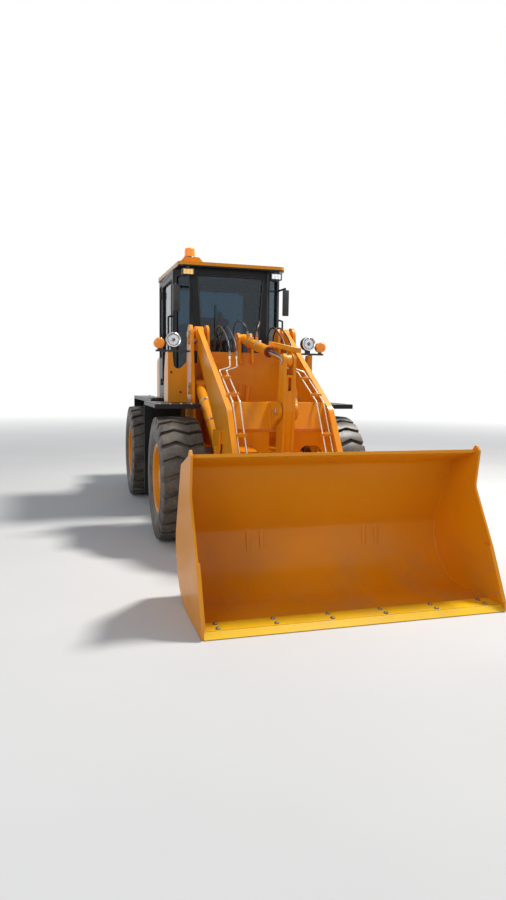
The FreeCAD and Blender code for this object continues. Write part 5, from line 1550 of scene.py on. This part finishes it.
class Rear_OT_steps(bpy.types.Operator):
    """Grip bars of the steps and deck, tank straps, filler cap, level gauge, rear bolts and the tow pin"""

    bl_idname = "loader.steps"
    bl_label = "Steps and tanks"

    def grips(self):
        """Anti-slip bars on the steps and on the cab's deck."""
        near, far = GRIP_Y
        bars = []
        for _, side in SIDES:
            for z in TREAD_Z:
                for x in GRIP_X:
                    bars.append(block("grip", at(side * (x - GRIP_HALF), near, z - 0.001),
                                      at(side * (x + GRIP_HALF), far, z + 0.005), 0.002))
            x, y, z = DECK_BAR
            for number in range(DECK_BARS):
                low = at(side * x, y + DECK_BAR_PITCH * number, z)
                bars.append(block("grip", low, low + Vector((side * 0.180, 0.010, 0.005)), 0.002))
        fit(joined("step_grips", bars), "rear_frame", "black_paint")

    def tow_pin(self):
        handle_y = TOW_PIN[1]
        handle = rod("tow_pin_handle", [at(x, handle_y, z) for x, z in TOW_HANDLE], 0.006)
        plug = turned("tow_pin", TOW_PIN_SHAPE, at(*TOW_PIN), UP, 24)
        fit(joined("tow_pin", [plug, handle]), "rear_frame", "zinc")

    def execute(self, context):
        self.grips()
        low, high = STRAP_Z
        inner, outer = STRAP_X
        straps = [block("strap", at(side * inner, y, low), at(side * outer, y + 0.035, high), 0.0015)
                  for _, side in SIDES for y in STRAP_Y]
        fit(joined("tank_straps", straps), "rear_frame", "steel")
        x, y, z = FILLER
        neck = turned("filler", FILLER_NECK, at(x, y, z), UP, 32)
        lug = block("lug", at(x - 0.050, y - 0.004, z + 0.026), at(x + 0.050, y + 0.004, z + 0.061), 0.003)
        fit(joined("filler_cap", [neck, lug]), "rear_frame", "zinc")
        gauge = block("gauge", *(at(*corner) for corner in GAUGE), 0.003)
        fit(gauge, "rear_frame", "clear")
        heads = [at(side * 0.628, y, 1.303) for _, side in SIDES for y in FENDER_BOLT_Y]
        fit(bolts("fender_bolts", heads, UP, 0.018, 0.009), "rear_frame", "zinc")
        heads = [at(side * MASS_BOLT_X, TAIL_Y - 0.002, z) for _, side in SIDES for z in MASS_BOLT_Z]
        fit(bolts("counterweight_bolts", heads, -FORWARD, 0.045, 0.020), "rear_frame", "steel")
        self.tow_pin()
        return {"FINISHED"}


# Front frame: hose ports and wall bolts; heights of the hinge pin's caps, and their bolts at angles in radians;
# a fender's edge and bolts; bolts of the lamp brackets; and upright welds by their x, y and heights
PORT_X = (-0.310, -0.245, -0.112, 0.112, 0.245, 0.310)
WALL_BOLT_X = (-0.30, 0.30)
WALL_BOLT_Z = (0.93, 1.70)
CAP_Z = (1.057, 0.537)
CAP_SHAPE = ((-0.002, 0.0), (-0.002, 0.050), (0.008, 0.050), (0.010, 0.046), (0.010, 0.0))
CAP_BOLT_R = 0.032
CAP_BOLT_ANGLES = (0.5, 2.6, 4.7)
FENDER_EDGE_X = 0.9885
FENDER_EDGE = ((-0.562, 1.2965), (-1.430, 1.2965), (-1.430, 1.2635), (-0.574, 1.2635))
FENDER_PLATE_X = (0.640, 0.740, 0.840, 0.940)
BRACKET_BOLTS = ((0.745, 1.600), (0.650, 1.400))
TOWER_WELD_X = (0.391, 0.529)
TOWER_WELD_Y = -0.664
TOWER_WELD_Z = (0.92, 1.30, 1.60, 1.885)
WALL_WELD = (0.364, -0.942)
WALL_WELD_Z = (0.88, 1.20, 1.50, 1.79)


class Front_OT_frame(bpy.types.Operator):
    """Bolts, port nuts, hinge pin caps, fender edges and welds of the front frame"""

    bl_idname = "loader.front_frame"
    bl_label = "Front frame fittings"

    def hinge_caps(self):
        """Bolted caps over the ends of the hinge pin."""
        caps = []
        for z in CAP_Z:
            caps.append(turned("cap", CAP_SHAPE, at(0, 0, z), UP, 32))
            spots = [at(CAP_BOLT_R * math.cos(angle), CAP_BOLT_R * math.sin(angle), z + 0.009)
                     for angle in CAP_BOLT_ANGLES]
            caps.append(bolts("cap_bolts", spots, UP, 0.014, 0.008))
        fit(joined("hinge_caps", caps), "rear_frame", "black_paint")

    def execute(self, context):
        nuts = [drum("port", at(x, -0.860, 1.599), at(x, -0.860, 1.6125), 0.019, 6, 0.001) for x in PORT_X]
        fit(joined("port_nuts", nuts), "front_frame", "zinc")
        heads = [at(x, -0.940, z) for x in WALL_BOLT_X for z in WALL_BOLT_Z]
        fit(bolts("wall_bolts", heads, FORWARD, 0.022, 0.012), "front_frame", "orange_paint")
        self.hinge_caps()
        edges = [strip("edge", [at(side * FENDER_EDGE_X, y, z) for y, z in FENDER_EDGE], 0.0035)
                 for _, side in SIDES]
        fit(joined("fender_edges", edges), "front_frame", "trim")
        heads = [at(side * x, -1.395, 1.2965) for _, side in SIDES for x in FENDER_PLATE_X]
        fit(bolts("fender_plate_bolts", heads, UP, 0.016, 0.008), "front_frame", "zinc")
        heads = [at(side * x, -0.8262, z) for _, side in SIDES for x, z in BRACKET_BOLTS]
        fit(bolts("bracket_bolts", heads, FORWARD, 0.016, 0.008), "front_frame", "red_paint_and_gland_shade")
        welds = []
        wall_x, wall_y = WALL_WELD
        for _, side in SIDES:
            for x in TOWER_WELD_X:
                welds.append(rod("weld", [at(side * x, TOWER_WELD_Y, z) for z in TOWER_WELD_Z], WELD_R))
            welds.append(rod("weld", [at(side * wall_x, wall_y, z) for z in WALL_WELD_Z], WELD_R))
        fit(joined("frame_welds", welds), "front_frame", "orange_paint")
        return {"FINISHED"}


# Camera of the photograph: place in metres, angles in degrees, focal length and height in pixels, sensor in
# millimetres. The picture is taller than wide, so the sensor's size is along its height
CAMERA_PLACE = (-1.777, -6.845, 1.504)
CAMERA_YAW = -16.024
CAMERA_PITCH = -5.890
CAMERA_ROLL = 0.745
FOCAL_PIXELS = 652.08
PHOTO_HEIGHT = 900
SENSOR = 36.0
# Lights: name, place, aim, diameter, watts and colour
LIGHTS = (
    ("key", (4.6, 0.0, 10.2), (0, -0.6, 1.0), 1.8, 1500, (1.0, 0.97, 0.92)),
    ("front_fill", (-6.0, -8.0, 4.5), (0, -1.0, 1.0), 5.0, 170, (0.95, 0.97, 1.0)),
)
SKY_COLOUR = (0.86, 0.92, 1.0, 1)
SKY_STRENGTH = 0.40
WHITE = (1, 1, 1, 1)


def add_light(name, place, aim, size, power, colour):
    start_clean()
    bpy.ops.object.light_add(type="AREA", location=place)
    light = bpy.context.object
    light.name = name
    light.rotation_euler = (Vector(aim) - Vector(place)).to_track_quat("-Z", "Y").to_euler()
    light.data.shape = "DISK"
    light.data.size = size
    light.data.energy = power
    light.data.color = colour


def pale_floor():
    """The floor: pale and matt, and white where it runs out of sight."""
    start_clean()
    bpy.ops.mesh.primitive_circle_add(vertices=96, radius=60, fill_type="NGON", location=(0, 0, 0))
    floor = settle("floor")
    ground = Finish("pale_floor")
    cloud = ground.between(ground.noise(0.6, 6.0), 0.3, 0.7)
    tone = ground.mix(cloud, (0.60, 0.60, 0.60), (0.64, 0.64, 0.64))
    ground.surface(Base_Color=tone, Roughness=0.9)
    far = ground.node("ShaderNodeVectorMath", {"operation": "LENGTH"}, {0: ground.place}, "Value")
    seen = ground.node("ShaderNodeLightPath", {}, {}, "Is Camera Ray")
    seen = seen + ground.node("ShaderNodeLightPath", {}, {}, "Is Glossy Ray")
    seen = seen + ground.node("ShaderNodeLightPath", {}, {}, "Is Transmission Ray")
    white = ground.node("ShaderNodeEmission", {}, {"Color": WHITE})
    own = Tone(ground, ground.shader.outputs[0])
    part = ground.between(far, 6.0, 22.0) * ground.between(seen, 0.0, 1.0)
    blend = ground.node("ShaderNodeMixShader", {}, {0: part, 1: own, 2: white})
    output = next(node for node in ground.tree.nodes if node.type == "OUTPUT_MATERIAL")
    ground.tree.links.new(blend.socket, output.inputs["Surface"])
    floor.data.materials.append(ground.material)


def studio_world(scene):
    """Even sky light; the camera, glass and gloss see it white."""
    world = bpy.data.worlds.new("studio")
    scene.world = world
    world.use_nodes = True
    tree = world.node_tree
    tree.nodes.clear()
    fill = tree.nodes.new("ShaderNodeBackground")
    fill.inputs["Color"].default_value = SKY_COLOUR
    fill.inputs["Strength"].default_value = SKY_STRENGTH
    white = tree.nodes.new("ShaderNodeBackground")
    white.inputs["Color"].default_value = WHITE
    paths = tree.nodes.new("ShaderNodeLightPath")
    seen = paths.outputs["Is Camera Ray"]
    for output in ("Is Glossy Ray", "Is Transmission Ray"):
        total = tree.nodes.new("ShaderNodeMath")
        total.operation = "ADD"
        total.use_clamp = True
        tree.links.new(seen, total.inputs[0])
        tree.links.new(paths.outputs[output], total.inputs[1])
        seen = total.outputs[0]
    choose = tree.nodes.new("ShaderNodeMixShader")
    out = tree.nodes.new("ShaderNodeOutputWorld")
    tree.links.new(seen, choose.inputs[0])
    tree.links.new(fill.outputs[0], choose.inputs[1])
    tree.links.new(white.outputs[0], choose.inputs[2])
    tree.links.new(choose.outputs[0], out.inputs[0])


class Stage_OT_stage(bpy.types.Operator):
    """Pale floor, soft lights and the camera of the photograph"""

    bl_idname = "loader.stage"
    bl_label = "Stage"

    def execute(self, context):
        pale_floor()
        studio_world(context.scene)
        for light in LIGHTS:
            add_light(*light)
        start_clean()
        bpy.ops.object.camera_add()
        camera = context.object
        camera.name = "photo_camera"
        turn = Matrix.Rotation(math.radians(CAMERA_YAW), 4, "Z")
        turn = turn @ Matrix.Rotation(math.radians(90 + CAMERA_PITCH), 4, "X")
        turn = turn @ Matrix.Rotation(math.radians(CAMERA_ROLL), 4, "Z")
        camera.matrix_world = Matrix.Translation(CAMERA_PLACE) @ turn
        camera.data.sensor_width = SENSOR
        camera.data.lens = FOCAL_PIXELS * SENSOR / PHOTO_HEIGHT
        camera.data.clip_end = 300
        context.scene.camera = camera
        context.scene.view_settings.view_transform = "Standard"
        return {"FINISHED"}


STEPS = [Paint_OT_finishes, Stage_OT_stage, Hoses_OT_hoses, Wheels_OT_tyres, Wheels_OT_hubs, Bucket_OT_edge,
         Arms_OT_pins, Arms_OT_cylinders, Arms_OT_pipes, Lamps_OT_front, Lamps_OT_roof, Lamps_OT_tail,
         Cab_OT_seals, Cab_OT_fittings, Cab_OT_seat, Rear_OT_hood, Rear_OT_steps, Front_OT_frame]


class Loader_PT_panel(bpy.types.Panel):
    """Lists the loader's colours, sizes and pieces"""

    bl_label = "Wheel loader"
    bl_idname = "LOADER_PT_panel"
    bl_space_type = "VIEW_3D"
    bl_region_type = "UI"
    bl_category = "Loader"

    def draw(self, context):
        for group in (context.scene.loader_colours, context.scene.loader_sizes):
            column = self.layout.column()
            for name in group.bl_rna.properties.keys():
                if name not in ("rna_type", "name"):
                    column.prop(group, name)
        for step in STEPS:
            self.layout.operator(step.bl_idname)


CLASSES = [LoaderColours, LoaderSizes] + STEPS + [Loader_PT_panel]


def register():
    for cls in CLASSES:
        bpy.utils.register_class(cls)
    bpy.types.Scene.loader_colours = bpy.props.PointerProperty(type=LoaderColours)
    bpy.types.Scene.loader_sizes = bpy.props.PointerProperty(type=LoaderSizes)


def unregister():
    del bpy.types.Scene.loader_sizes
    del bpy.types.Scene.loader_colours
    for cls in reversed(CLASSES):
        bpy.utils.unregister_class(cls)


def main():
    register()
    for step in STEPS:
        group, name = step.bl_idname.split(".")
        getattr(getattr(bpy.ops, group), name)()


if __name__ == "__main__":
    main()
